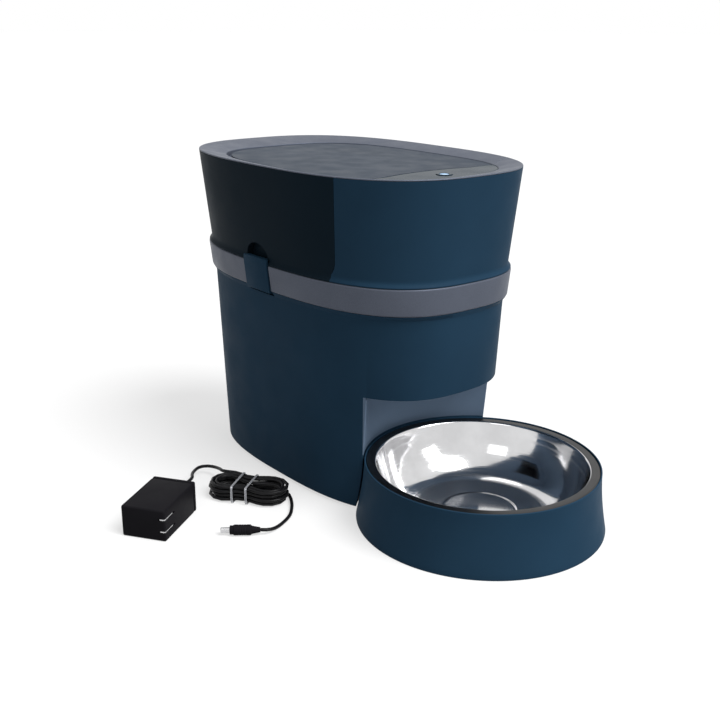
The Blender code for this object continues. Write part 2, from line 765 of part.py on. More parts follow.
def make_latch(side, name):
    """A sprung tab that turns on a pin in the band's ends and hooks into the hopper's finger notch."""
    face_low = half_sizes(BAND_BOTTOM)[1] + BAND_OUT + LATCH_PROUD
    face_top = half_sizes(BAND_TOP)[1] + BAND_OUT + LATCH_PROUD
    back_low = face_low - LATCH_THICKNESS
    back_top = face_top - LATCH_THICKNESS
    profile = [
        (back_low, LATCH_BOTTOM),
        (face_low - LATCH_EDGE, LATCH_BOTTOM),
        (face_low, LATCH_BOTTOM + LATCH_EDGE),
        (face_top, BAND_TOP),
        (face_top, LATCH_TOP - LATCH_EDGE),
        (face_top - LATCH_EDGE, LATCH_TOP),
        (back_top, LATCH_TOP),
        (back_top, BAND_TOP),
    ]
    outline = [(side * y, z) for y, z in profile]
    half = LATCH_WIDTH / 2
    latch = plate(name, [outline], LATCH_X - half, LATCH_X + half, "YZ")
    y = side * latch_pin_y()
    barrel = rod(f"{name}_barrel", LATCH_BARREL_RADIUS, (LATCH_X - half, y, LATCH_PIN_HEIGHT), LATCH_WIDTH, "X",
                 LATCH_BARREL_SIDES, tool=True)
    hook_half = LATCH_HOOK_WIDTH / 2
    hook_y = sorted((side * (back_top - LATCH_HOOK_REACH), side * (back_top + LATCH_THICKNESS / 2)))
    hook = block(f"{name}_hook", (LATCH_X - hook_half, hook_y[0], LATCH_TOP - LATCH_HOOK_HEIGHT),
                 (LATCH_X + hook_half, hook_y[1], LATCH_TOP), tool=True)
    join(latch, barrel, hook)
    cut(latch, rod(f"{name}_bore", LATCH_PIN_RADIUS + PIN_CLEARANCE, (LATCH_X - half - CUT_OVERRUN, y, LATCH_PIN_HEIGHT),
                   LATCH_WIDTH + CUT_OVERRUN * 2, "X", SMALL_SIDES, tool=True))
    finish(latch, "navy")
    reach = half + LATCH_GAP + LATCH_PIN_IN_BAND
    pin = rod(f"{name}_pin", LATCH_PIN_RADIUS, (LATCH_X - reach, y, LATCH_PIN_HEIGHT), reach * 2, "X", SMALL_SIDES)
    finish(pin, "steel")
    pivot = new_empty(f"{name}_pivot", (LATCH_X, y, LATCH_PIN_HEIGHT), FEEDER)
    hang_on(pivot, latch)
    return latch


# Hopper and front shell
def seam_outline(shift, front):
    """Side view of the hopper's half or the front shell's half, parted along the leaning seam and its round corner."""
    radius = SEAM_CORNER_RADIUS + shift
    centre_x = SEAM_LOW_X - SEAM_CORNER_RADIUS
    centre_z = SHELL_BOTTOM + SEAM_CORNER_RADIUS
    sweep = math.asin(SEAM_WEB_END / SEAM_CORNER_RADIUS)
    steps = ROUND_SIDES // 3
    arc = []
    for i in range(steps + 1):
        angle = sweep * i / steps
        arc.append((centre_x + radius * math.cos(angle), centre_z - radius * math.sin(angle)))
    top = HEIGHT + CUT_OVERRUN
    bottom = SHELL_BOTTOM - CUT_OVERRUN
    far = TOP_HALF_LENGTH + CUT_OVERRUN
    end_x = arc[-1][0]
    outline = [(SEAM_TOP_X + shift, top)] + arc + [(end_x, bottom)]
    far_x = far if front else -far
    return outline + [(far_x, bottom), (far_x, top)]


def shell_rings(inset=0.0):
    return [
        housing_ring(SHELL_BOTTOM, -SKIRT_OUT + inset),
        housing_ring(SHELL_BOTTOM + SKIRT_FACE, -SKIRT_OUT + inset),
        housing_ring(SKIRT_TOP, inset),
        housing_ring(SHELL_TOP, inset),
    ]


def make_front_shell():
    shell = loft("front_shell", shell_rings())
    room = loft("front_shell_room", [
        housing_ring(SHELL_BOTTOM - CUT_OVERRUN, WALL),
        housing_ring(SHELL_TOP + CUT_OVERRUN, WALL),
    ], tool=True)
    wide = TOP_HALF_WIDTH + CUT_OVERRUN
    far = TOP_HALF_LENGTH + CUT_OVERRUN
    back = BULKHEAD_X + WALL
    keep(room, block("front_shell_room_limit", (back, -wide, 0), (far, wide, HEIGHT + CUT_OVERRUN * 2), tool=True))
    cut(shell, room)
    keep(shell, plate("front_side_view", [seam_outline(CLEARANCE, True)], -wide, wide, "XZ", tool=True))
    web_room = loft("front_web_room", [
        housing_ring(SHELL_BOTTOM - CUT_OVERRUN, WALL),
        housing_ring(SHELL_TOP + CUT_OVERRUN, WALL),
    ], tool=True)
    keep(web_room, block("front_web_limit", (0, -wide, 0), (BULKHEAD_X, wide, SHELL_TOP), tool=True))
    cut(shell, web_room)
    top_room = loft("bulkhead_top_room", [
        housing_ring(BIN_FRONT_TOP, WALL + CLEARANCE),
        housing_ring(HEIGHT + CUT_OVERRUN, WALL + CLEARANCE),
    ], tool=True)
    keep(top_room, block("bulkhead_top_limit", (BULKHEAD_X - WALL, -wide, 0), (back + CUT_OVERRUN, wide, HEIGHT * 2),
                         tool=True))
    cut(shell, top_room)
    return finish(shell, "navy")


def funnel_outlines(inset):
    """Outlines of the funnel's outlet and mouth, drawn in by inset."""
    outlet = superellipse(FUNNEL_OUTLET_HALF_LENGTH - inset, FUNNEL_OUTLET_HALF_WIDTH - inset,
                          FUNNEL_OUTLET_POWER, FUNNEL_OUTLET_X)
    mouth = superellipse(FUNNEL_TOP_HALF_LENGTH - inset, FUNNEL_TOP_HALF_WIDTH - inset, FUNNEL_TOP_POWER, FUNNEL_TOP_X)
    return outlet, mouth


def funnel_rings(inset, low, high):
    """Sections of the funnel from its outlet up into the bin's floor."""
    outlet, mouth = funnel_outlines(inset)
    return [ring_at(outlet, low), ring_at(outlet, FUNNEL_NECK_Z), ring_at(mouth, SHELL_BOTTOM), ring_at(mouth, high)]


def notch_solid(name, grow, side):
    """Half-round finger notch in the hopper's side, open at the bottom for the latch's hook."""
    half = FINGER_NOTCH_WIDTH / 2 + grow
    rise = FINGER_NOTCH_TOP - LATCH_TOP + grow
    steps = SMALL_SIDES
    outline = [(LATCH_X - half, SHELL_BOTTOM - CUT_OVERRUN), (LATCH_X + half, SHELL_BOTTOM - CUT_OVERRUN)]
    for i in range(steps + 1):
        angle = math.pi * i / steps
        outline.append((LATCH_X + half * math.cos(angle), LATCH_TOP + rise * math.sin(angle)))
    inner = half_sizes(LATCH_TOP)[1] - FINGER_NOTCH_DEPTH - grow
    low, high = sorted((side * inner, side * (TOP_HALF_WIDTH + CUT_OVERRUN)))
    return plate(name, [outline], low, high, "XZ", tool=True)


def make_hopper():
    hopper = loft("hopper", shell_rings())
    wide = TOP_HALF_WIDTH + CUT_OVERRUN
    far = TOP_HALF_LENGTH + CUT_OVERRUN
    keep(hopper, plate("hopper_side_view", [seam_outline(-CLEARANCE, False)], -wide, wide, "XZ", tool=True))
    funnel = loft("funnel_outside", funnel_rings(0.0, FUNNEL_OUTLET_Z, SHELL_BOTTOM + BIN_FLOOR / 2), tool=True)
    join(hopper, funnel)
    bin_room = loft("bin_room", [
        housing_ring(SHELL_BOTTOM + BIN_FLOOR, WALL),
        housing_ring(SHELL_TOP + CUT_OVERRUN, WALL),
    ], tool=True)
    front = BULKHEAD_X - CLEARANCE - WALL
    corner = [(x, z + BIN_FLOOR) for x, z in seam_outline(-CLEARANCE - WALL, False)]
    keep(bin_room, plate("bin_limit", [corner], -wide, wide, "XZ", tool=True))
    for side in (-1, 1):
        cut(bin_room, notch_solid(f"notch_wall_{side}", WALL, side))
    funnel_room = loft("funnel_inside", funnel_rings(WALL, FUNNEL_OUTLET_Z - CUT_OVERRUN, SHELL_BOTTOM + BIN_FLOOR * 2),
                       tool=True)
    cut(hopper, bin_room, funnel_room)
    for side in (-1, 1):
        cut(hopper, notch_solid(f"notch_room_{side}", 0.0, side))
        inner = half_sizes(LATCH_TOP)[1] - CLEARANCE
        half = LATCH_WIDTH / 2 + LATCH_GAP
        low, high = sorted((side * inner, side * wide))
        cut(hopper, block(f"skirt_gap_{side}", (LATCH_X - half, low, SHELL_BOTTOM - CUT_OVERRUN),
                          (LATCH_X + half, high, LATCH_TOP + CLEARANCE), tool=True))
    rim_half = OPENING_HALF_WIDTH + LEDGE_REACH
    cut(hopper, block("bin_front_top", (front - CUT_OVERRUN * 2, -rim_half, BIN_FRONT_TOP),
                      (far, rim_half, HEIGHT + CUT_OVERRUN), tool=True))
    return finish(hopper, "tinted")


# Rim, front cap, lid and control panel
def opening_ring(z, grow=0.0):
    return ring_at(superellipse(OPENING_HALF_LENGTH + grow, OPENING_HALF_WIDTH + grow, OPENING_POWER, OPENING_X), z)


def ledge_outline(grow=0.0):
    shift = (LEDGE_REAR_REACH - LEDGE_REACH) / 2
    half_length = OPENING_HALF_LENGTH - LEDGE_REACH - shift + grow
    return superellipse(half_length, OPENING_HALF_WIDTH - LEDGE_REACH + grow, OPENING_POWER, OPENING_X + shift)


def rim_ring(name):
    """The whole sloping rim round the top, with the ledge that the lid and the panel rest on."""
    return loft(name, [
        housing_ring(SHELL_TOP + CLEARANCE, RIM_UNDER_INSET),
        housing_ring(SHELL_TOP + CLEARANCE),
        housing_ring(HEIGHT - RIM_CROWN_DROP),
        housing_ring(HEIGHT, RIM_CROWN),
        opening_ring(HEIGHT - RIM_INNER_DROP),
        opening_ring(LEDGE_Z),
        ring_at(ledge_outline(), LEDGE_Z),
        ring_at(ledge_outline(), LEDGE_Z - LEDGE_THICKNESS),
        opening_ring(LEDGE_Z - LEDGE_THICKNESS, LEDGE_ROOT),
    ], hollow=True)


def hinge_relief(name):
    """The stretch of the ledge that is left out beside the hinge, where the lid's front corners dip."""
    half = opening_width_at_hinge()
    return block(name, (LID_HINGE_X - HINGE_RELIEF_BACK, -half, LEDGE_Z - LEDGE_THICKNESS - CUT_OVERRUN),
                 (LID_HINGE_X + HINGE_RELIEF_FRONT, half, LEDGE_Z + CLEARANCE), tool=True)


def rim_seam(shift, front):
    """Plan of the front or rear share of the rim, parted along a slanted seam at each side."""
    lean = (RIM_SEAM_INNER_X - RIM_SEAM_OUTER_X) / (RIM_SEAM_OUTER_Y - RIM_SEAM_INNER_Y)
    wide = TOP_HALF_WIDTH + CUT_OVERRUN
    outer_x = RIM_SEAM_OUTER_X - lean * (wide - RIM_SEAM_OUTER_Y)
    side = [(outer_x + shift, wide), (RIM_SEAM_INNER_X + shift, RIM_SEAM_INNER_Y)]
    mirrored = [(x, -y) for x, y in reversed(side)]
    far = TOP_HALF_LENGTH + CUT_OVERRUN
    far_x = far if front else -far
    return side + mirrored + [(far_x, -wide), (far_x, wide)]


def make_lid_rim():
    rim = rim_ring("lid_rim")
    low, high = LEDGE_Z - CUT_OVERRUN * 2, HEIGHT + CUT_OVERRUN
    keep(rim, plate("rear_plan", [rim_seam(-CLEARANCE, False)], low, high, tool=True))
    cut(rim, hinge_relief("rear_relief"))
    for side in (-1, 1):
        start = OPENING_HALF_WIDTH / 2
        depth = lid_pin_end() + LID_HOLE_SPARE - start
        y = start if side > 0 else -start - depth
        cut(rim, rod(f"lid_pin_hole_{side}", LID_PIN_RADIUS + PIN_CLEARANCE, (LID_HINGE_X, y, lid_hinge_z()), depth,
                     "Y", SMALL_SIDES, tool=True))
    return finish(rim, "silver")


def make_front_cap():
    cap = rim_ring("front_cap")
    low, high = LEDGE_Z - CUT_OVERRUN * 2, HEIGHT + CUT_OVERRUN
    keep(cap, plate("front_plan", [rim_seam(CLEARANCE, True)], low, high, tool=True))
    cut(cap, hinge_relief("front_relief"))
    return finish(cap, "silver")


def lid_top():
    return HEIGHT - RIM_INNER_DROP - LID_SINK


def lid_hinge_z():
    return lid_top() - LID_HINGE_DROP


def half_width_at(x, half_length, half_width, power, centre_x):
    """Half width of a superellipse at one place along it."""
    return half_width * (1 - abs((x - centre_x) / half_length) ** power) ** (1 / power)


def opening_width_at_hinge():
    return half_width_at(LID_HINGE_X, OPENING_HALF_LENGTH, OPENING_HALF_WIDTH, OPENING_POWER, OPENING_X)


def lid_pin_end():
    return opening_width_at_hinge() + LID_PIN_REACH


def lid_outline(inset=0.0):
    shift = (LID_FINGER_GAP - LID_SIDE_GAP) / 2
    half_length = OPENING_HALF_LENGTH - LID_SIDE_GAP - shift - inset
    return superellipse(half_length, OPENING_HALF_WIDTH - LID_SIDE_GAP - inset, OPENING_POWER, OPENING_X + shift)


def panel_back(name, shift, low, high):
    """The round that forms the panel's bowed back edge, wide enough to reach past the front."""
    centre = (PANEL_BACK_X + PANEL_BACK_RADIUS, 0, low)
    return rod(name, PANEL_BACK_RADIUS + shift, centre, high - low, "Z", PANEL_BACK_SIDES, tool=True)


def make_lid():
    low, high = lid_top() - LID_THICKNESS, lid_top()
    lid = plate("lid", [lid_outline()], low, high)
    wide = TOP_HALF_WIDTH + CUT_OVERRUN
    far = TOP_HALF_LENGTH + CUT_OVERRUN
    front = panel_back("lid_front_round", LID_FRONT_GAP, low - CUT_OVERRUN, high + CUT_OVERRUN)
    join(front, block("lid_front_limit", (LID_FRONT_X, -wide, low - CUT_OVERRUN / 2),
                      (far, wide, high + CUT_OVERRUN / 2), tool=True))
    cut(lid, front)
    for side in (-1, 1):
        start = opening_width_at_hinge() - LID_SIDE_GAP - LID_PIN_ROOT
        length = lid_pin_end() - start
        y = start if side > 0 else -start - length
        join(lid, rod(f"lid_pin_{side}", LID_PIN_RADIUS, (LID_HINGE_X, y, lid_hinge_z()), length, "Y", SMALL_SIDES,
                      tool=True))
    seal_top = low - CLEARANCE
    seal = plate("lid_seal", [lid_outline(SEAL_INSET), lid_outline(SEAL_INSET + SEAL_WIDTH)],
                 seal_top - SEAL_THICKNESS, seal_top)
    cut(seal, block("seal_front_limit", (SEAL_FRONT_X, -wide, LEDGE_Z - CUT_OVERRUN), (far, wide, high), tool=True))
    pivot = new_empty("lid_pivot", (LID_HINGE_X, 0, lid_hinge_z()), FEEDER)
    hang_on(pivot, finish(lid, "lid"), finish(seal, "rubber"))
    return lid


def panel_posts():
    """Places of the four posts that carry the control board."""
    x_low, x_high = BOARD_BACK_X + BOARD_POST_INSET, BOARD_FRONT_X - BOARD_POST_INSET
    y = BOARD_HALF_WIDTH - BOARD_POST_INSET
    return [(x_low, y), (x_high, y), (x_low, -y), (x_high, -y)]


def board_top():
    return lid_top() - PANEL_THICKNESS - BOARD_DROP


def make_control_panel():
    low, high = lid_top() - PANEL_THICKNESS, lid_top()
    inset = PANEL_GAP
    outline = superellipse(OPENING_HALF_LENGTH - inset, OPENING_HALF_WIDTH - inset, OPENING_POWER, OPENING_X)
    panel = plate("control_panel", [outline], low, high)
    centre_x = PANEL_BACK_X + PANEL_BACK_RADIUS
    region = loft("panel_region", [
        ring_at(circle(PANEL_BACK_RADIUS, centre_x, PANEL_BACK_SIDES), low - CUT_OVERRUN),
        ring_at(circle(PANEL_BACK_RADIUS, centre_x, PANEL_BACK_SIDES), high - PANEL_BACK_EDGE),
        ring_at(circle(PANEL_BACK_RADIUS - PANEL_BACK_EDGE * 2, centre_x, PANEL_BACK_SIDES), high + PANEL_BACK_EDGE),
    ], tool=True)
    wide = TOP_HALF_WIDTH + CUT_OVERRUN
    far = TOP_HALF_LENGTH + CUT_OVERRUN
    join(region, block("panel_tips", (RIM_SEAM_INNER_X + CLEARANCE, -wide, low - CUT_OVERRUN / 2),
                       (far, wide, high + CUT_OVERRUN / 2), tool=True))
    keep(panel, region)
    for i, (x, y) in enumerate(panel_posts()):
        post_low = board_top() + CLEARANCE
        join(panel, rod(f"panel_post_{i}", BOARD_POST_RADIUS, (x, y, post_low), low + PANEL_THICKNESS / 2 - post_low,
                        "Z", SMALL_SIDES, tool=True))
    cut(panel, rod("button_hole", BUTTON_RADIUS + BUTTON_CLEARANCE, (BUTTON_X, 0, low - CUT_OVERRUN),
                   PANEL_THICKNESS + CUT_OVERRUN * 2, "Z", ROUND_SIDES, tool=True))
    return finish(panel, "panel")


def make_button():
    """A ring that presses down, with the lit lens in its middle."""
    top = lid_top() + BUTTON_PROUD
    under = lid_top() - PANEL_THICKNESS - CLEARANCE
    flange_low = under - BUTTON_FLANGE_THICKNESS
    hole = LIGHT_RADIUS + CLEARANCE
    edge = BUTTON_PROUD / 2
    button = turned("feed_button", [
        (hole, top),
        (BUTTON_RADIUS - edge, top),
        (BUTTON_RADIUS, top - edge),
        (BUTTON_RADIUS, under),
        (BUTTON_RADIUS + BUTTON_FLANGE, under),
        (BUTTON_RADIUS + BUTTON_FLANGE, flange_low),
        (hole, flange_low),
    ], closed=True)
    button.location = (BUTTON_X, 0, 0)
    light = rod("status_light", LIGHT_RADIUS, (BUTTON_X, 0, flange_low), top - flange_low - edge / 2, "Z", ROUND_SIDES)
    pivot = new_empty("feed_button_slide", (BUTTON_X, 0, top), FEEDER)
    hang_on(pivot, finish(button, "panel"), finish(light, "light"))
    return flange_low


def make_control_board(button_low):
    top = board_top()
    board = block("control_board", (BOARD_BACK_X, -BOARD_HALF_WIDTH, top - BOARD_THICKNESS),
                  (BOARD_FRONT_X, BOARD_HALF_WIDTH, top))
    switch_top = button_low - BUTTON_TRAVEL - SWITCH_GAP
    join(board, rod("tact_switch", SWITCH_RADIUS, (BUTTON_X, 0, top - BOARD_THICKNESS / 2),
                    switch_top - top + BOARD_THICKNESS / 2, "Z", SMALL_SIDES, tool=True))
    return finish(board, "board", smooth=False)


# Conveyor
def belt_outline(radius, flights):
    """Side view of a belt round both rollers, with upright flights when asked for."""
    length = ROLLER_FRONT_X - ROLLER_REAR_X
    half_turn = math.pi * radius
    total = 2 * (length + half_turn)

    def place(distance, height):
        distance %= total
        if distance < length:
            return (ROLLER_REAR_X + distance, ROLLER_Z + radius + height)
        distance -= length
        if distance < half_turn:
            angle = RIGHT_ANGLE - distance / radius
            centre = ROLLER_FRONT_X
        elif distance < half_turn + length:
            return (ROLLER_FRONT_X - (distance - half_turn), ROLLER_Z - radius - height)
        else:
            angle = -RIGHT_ANGLE - (distance - half_turn - length) / radius
            centre = ROLLER_REAR_X
        reach = radius + height
        return (centre + reach * math.cos(angle), ROLLER_Z + reach * math.sin(angle))

    stops = [(0.0, 0.0)]
    for start in (length, 2 * length + half_turn):
        stops += [(start + half_turn * i / BELT_ARC_STEPS, 0.0) for i in range(BELT_ARC_STEPS + 1)]
    stops = stops[:-1]
    if flights:
        spacing = total / BELT_FLIGHT_COUNT
        half = BELT_FLIGHT_THICKNESS / 2
        for i in range(BELT_FLIGHT_COUNT):
            middle = spacing * (i + 1 / 2)
            stops = [stop for stop in stops if abs(stop[0] - middle) > half * 2]
            stops += [(middle - half, 0.0), (middle - half / 2, BELT_FLIGHT_HEIGHT),
                      (middle + half / 2, BELT_FLIGHT_HEIGHT), (middle + half, 0.0)]
    stops.sort()
    return [place(distance, height) for distance, height in stops]


def make_belt():
    inner = ROLLER_RADIUS + CLEARANCE
    outlines = [belt_outline(inner + BELT_THICKNESS, True), belt_outline(inner, False)]
    return finish(plate("conveyor_belt", outlines, -BELT_HALF_WIDTH, BELT_HALF_WIDTH, "XZ"), "rubber", smooth=False)


def make_roller(name, x, shaft_end):
    """A roller on its own shaft, with a waist at each end of its drum; its axis lies along Y."""
    step = SHAFT_RADIUS
    shaft_start = FRAME_HALF_WIDTH + CLEARANCE
    roller = turned(name, [
        (0, shaft_end),
        (SHAFT_RADIUS, shaft_end),
        (SHAFT_RADIUS, ROLLER_HALF_LENGTH),
        (ROLLER_RADIUS - step, ROLLER_HALF_LENGTH),
        (ROLLER_RADIUS, ROLLER_HALF_LENGTH - step),
        (ROLLER_RADIUS, -ROLLER_HALF_LENGTH + step),
        (ROLLER_RADIUS - step, -ROLLER_HALF_LENGTH),
        (SHAFT_RADIUS, -ROLLER_HALF_LENGTH),
        (SHAFT_RADIUS, -shaft_start),
        (0, -shaft_start),
    ], ROLLER_SIDES)
    roller.rotation_euler = (-RIGHT_ANGLE, 0, 0)
    roller.location = (x, 0, ROLLER_Z)
    return finish(roller, "acetal")


def make_conveyor_frame():
    """A tray with side cheeks for both rollers, ears for its posts and a bracket for the gearmotor."""
    y = FRAME_HALF_WIDTH
    frame = block("conveyor_frame", (FRAME_REAR_X, -y, FRAME_FLOOR_Z), (FRAME_FRONT_X, y, FRAME_TOP_Z))
    inner = y - FRAME_WALL
    cut(frame, block("frame_room", (FRAME_REAR_X - CUT_OVERRUN, -inner, FRAME_FLOOR_Z + FRAME_WALL),
                     (FRAME_FRONT_X + CUT_OVERRUN, inner, FRAME_TOP_Z + CUT_OVERRUN), tool=True))
    ear_half = FRAME_EAR_LENGTH / 2
    for x in (FRAME_EAR_REAR_X, FRAME_EAR_FRONT_X):
        join(frame, block(f"frame_ear_{x > 0}", (x - ear_half, -y - FRAME_EAR_REACH, FRAME_FLOOR_Z),
                          (x + ear_half, y + FRAME_EAR_REACH, FRAME_FLOOR_Z + FRAME_WALL), tool=True))
    bracket_x = pinion_x()
    half = BRACKET_HALF_LENGTH
    join(frame, block("bracket_shelf", (bracket_x - half, 0, FRAME_FLOOR_Z),
                      (bracket_x + half / 2, BRACKET_Y + BRACKET_THICKNESS, FRAME_FLOOR_Z + FRAME_WALL), tool=True))
    join(frame, block("bracket_wall", (bracket_x - half, BRACKET_Y, FRAME_FLOOR_Z),
                      (bracket_x + half, BRACKET_Y + BRACKET_THICKNESS, BRACKET_TOP_Z), tool=True))
    for x in (ROLLER_FRONT_X, ROLLER_REAR_X):
        cut(frame, rod(f"roller_hole_{x > 0}", SHAFT_RADIUS + PIN_CLEARANCE, (x, -y - CUT_OVERRUN, ROLLER_Z),
                       (y + CUT_OVERRUN) * 2, "Y", ROLLER_SIDES, tool=True))
    cut(frame, rod("pinion_hole", BRACKET_HOLE_RADIUS, (bracket_x, BRACKET_Y - CUT_OVERRUN / 2, ROLLER_Z),
                   BRACKET_THICKNESS + CUT_OVERRUN, "Y", SMALL_SIDES, tool=True))
    return finish(frame, "frame", smooth=False)


def pinion_x():
    return ROLLER_FRONT_X - GEAR_MODULE * (GEAR_TEETH + PINION_TEETH) / 2


def gear_outline(teeth, phase):
    """Spur gear teeth as narrowing blocks, a little slim so that the pair runs with backlash."""
    pitch_radius = GEAR_MODULE * teeth / 2
    tooth = 2 * math.pi / teeth
    levels = (
        (pitch_radius - GEAR_DEDENDUM_SHARE * GEAR_MODULE, GEAR_ROOT_HALF_SHARE),
        (pitch_radius, GEAR_PITCH_HALF_SHARE),
        (pitch_radius + GEAR_ADDENDUM_SHARE * GEAR_MODULE, GEAR_TIP_HALF_SHARE),
    )
    points = []
    for i in range(teeth):
        middle = phase + tooth * i
        for radius, share in levels:
            points.append((radius, middle - share * tooth))
        for radius, share in reversed(levels):
            points.append((radius, middle + share * tooth))
    return [(r * math.cos(a), r * math.sin(a)) for r, a in points]


def make_gear(name, teeth, phase, x, bore):
    """A spur gear in the plane of the gear train, with its axis along Y."""
    outline = [(u + x, v + ROLLER_Z) for u, v in gear_outline(teeth, phase)]
    hole = [(u, v + ROLLER_Z) for u, v in circle(bore, x, SMALL_SIDES)]
    return finish(plate(name, [outline, hole], GEAR_OUT_Y, GEAR_OUT_Y + GEAR_FACE, "XZ"), "acetal", smooth=False)


def make_gear_train():
    """The roller's gear meets the pinion behind it: a tooth points back on one and a gap forward on the other."""
    gear_phase = 0.0
    pinion_phase = math.pi / PINION_TEETH
    gear = make_gear("roller_gear", GEAR_TEETH, gear_phase, ROLLER_FRONT_X, SHAFT_RADIUS + GEAR_BORE_CLEARANCE)
    bore = PINION_SHAFT_RADIUS + GEAR_BORE_CLEARANCE
    pinion = make_gear("motor_pinion", PINION_TEETH, pinion_phase, pinion_x(), bore)
    return gear, pinion


def make_gearmotor():
    """Gearbox and motor behind the bracket, in one line along Y; the output shaft carries the pinion."""
    face = BRACKET_Y + BRACKET_THICKNESS + CLEARANCE
    end = face + GEARBOX_LENGTH
    gearbox = rod("gearbox", GEARBOX_RADIUS, (pinion_x(), face, ROLLER_Z), GEARBOX_LENGTH, "Y", ROLLER_SIDES)
    hole = PINION_SHAFT_RADIUS + PIN_CLEARANCE
    cut(gearbox, rod("gearbox_hole", hole, (pinion_x(), face - CUT_OVERRUN, ROLLER_Z), CUT_OVERRUN * 2, "Y",
                     SMALL_SIDES, tool=True))
    shaft = rod("pinion_shaft", PINION_SHAFT_RADIUS, (pinion_x(), GEAR_OUT_Y, ROLLER_Z),
                face + CUT_OVERRUN - CLEARANCE - GEAR_OUT_Y, "Y", SMALL_SIDES)
    motor = turned("drive_motor", [
        (0, MOTOR_LENGTH + MOTOR_BOSS_LENGTH),
        (MOTOR_BOSS_RADIUS, MOTOR_LENGTH + MOTOR_BOSS_LENGTH),
        (MOTOR_BOSS_RADIUS, MOTOR_LENGTH),
        (MOTOR_RADIUS, MOTOR_LENGTH),
        (MOTOR_RADIUS, 0),
        (0, 0),
    ], ROLLER_SIDES)
    motor.rotation_euler = (-RIGHT_ANGLE, 0, 0)
    motor.location = (pinion_x(), end + CLEARANCE, ROLLER_Z)
    finish(gearbox, "frame")
    finish(motor, "steel")
    return finish(shaft, "steel")


def make_chute():
    """A sloping box that drops the food from the belt through the niche's ceiling."""
    low = NICHE_TOP + WALL + CLEARANCE

    def corners(back, front, half, z):
        return [(back, -half, z), (front, -half, z), (front, half, z), (back, half, z)]

    chute = loft("food_chute", [
        corners(CHUTE_BACK_X, CHUTE_FRONT_X, CHUTE_HALF_WIDTH, low),
        corners(CHUTE_BACK_TOP_X, CHUTE_FRONT_TOP_X, CHUTE_HALF_WIDTH, CHUTE_TOP_Z),
    ])
    half = CHUTE_HALF_WIDTH - FRAME_WALL
    slope = (CHUTE_BACK_TOP_X - CHUTE_BACK_X) / (CHUTE_TOP_Z - low) * CUT_OVERRUN
    lean = (CHUTE_FRONT_TOP_X - CHUTE_FRONT_X) / (CHUTE_TOP_Z - low) * CUT_OVERRUN
    room = loft("chute_room", [
        corners(CHUTE_BACK_X + FRAME_WALL - slope, CHUTE_FRONT_X - FRAME_WALL - lean, half, low - CUT_OVERRUN),
        corners(CHUTE_BACK_TOP_X + FRAME_WALL + slope, CHUTE_FRONT_TOP_X - FRAME_WALL + lean, half,
                CHUTE_TOP_Z + CUT_OVERRUN),
    ], tool=True)
    window = block("chute_window", (FRAME_FRONT_X - CUT_OVERRUN, -half, CHUTE_BACK_OPEN_Z),
                   (CHUTE_BACK_X, half, CHUTE_TOP_Z + CUT_OVERRUN), tool=True)
    return finish(cut(chute, room, window), "frame", smooth=False)


# Base, feet, battery bay and boards
def make_base_plate():
    inset = WALL + CLEARANCE
    half_length, half_width = half_sizes(BASE_BOTTOM)
    outline = superellipse(half_length - inset, half_width - inset, OUTLINE_POWER)
    top = BASE_BOTTOM + BASE_THICKNESS
    base = plate("base_plate", [outline], BASE_BOTTOM, top)
    half = BAY_HALF_WIDTH + BAY_WALL
    join(base, block("bay_outside", (BAY_BACK_X - BAY_WALL, -half, BASE_BOTTOM + BASE_THICKNESS / 2),
                     (BAY_FRONT_X + BAY_WALL, half, BAY_TOP_Z + BAY_WALL), tool=True))
    post_y = FRAME_HALF_WIDTH + FRAME_EAR_REACH / 2
    post_top = FRAME_FLOOR_Z - CLEARANCE
    for x in (FRAME_EAR_REAR_X, FRAME_EAR_FRONT_X):
        for y in (-post_y, post_y):
            label = f"{x > 0}_{y > 0}"
            start = BASE_BOTTOM + BASE_THICKNESS / 2
            join(base, rod(f"post_{label}", POST_RADIUS, (x, y, start), post_top - start, "Z", SMALL_SIDES, tool=True))
    for i, (x, y) in enumerate(board_standoffs()):
        start = BASE_BOTTOM + BASE_THICKNESS / 2
        join(base, rod(f"standoff_{i}", STANDOFF_RADIUS, (x, y, start), MAIN_BOARD_Z - CLEARANCE - start, "Z",
                       SMALL_SIDES, tool=True))
    cut(base, block("bay_inside", (BAY_BACK_X, -BAY_HALF_WIDTH, BASE_BOTTOM - CUT_OVERRUN),
                    (BAY_FRONT_X, BAY_HALF_WIDTH, BAY_TOP_Z), tool=True))
    cut(base, niche_solid("base_niche", WALL + CLEARANCE, NICHE_TOP))
    return finish(base, "frame", smooth=False)


def make_battery_door():
    low = BASE_BOTTOM + DOOR_RECESS
    door = block("battery_door", (BAY_BACK_X + DOOR_GAP * 2, -BAY_HALF_WIDTH + DOOR_GAP, low),
                 (BAY_FRONT_X - DOOR_GAP, BAY_HALF_WIDTH - DOOR_GAP, low + DOOR_THICKNESS))
    pivot_x = BAY_BACK_X + DOOR_GAP * 2 + DOOR_HINGE_INSET / 2
    pivot = new_empty("battery_door_pivot", (pivot_x, 0, low + DOOR_THICKNESS / 2), FEEDER)
    hang_on(pivot, finish(door, "frame", smooth=False))
    return door


def make_contacts():
    for name, x in (("battery_contact_rear", BAY_BACK_X + CLEARANCE),
                    ("battery_contact_front", BAY_FRONT_X - CLEARANCE - CONTACT_THICKNESS)):
        plate_piece = block(name, (x, -CONTACT_HALF_WIDTH, CONTACT_BOTTOM),
                            (x + CONTACT_THICKNESS, CONTACT_HALF_WIDTH, CONTACT_TOP))
        finish(plate_piece, "steel", smooth=False)


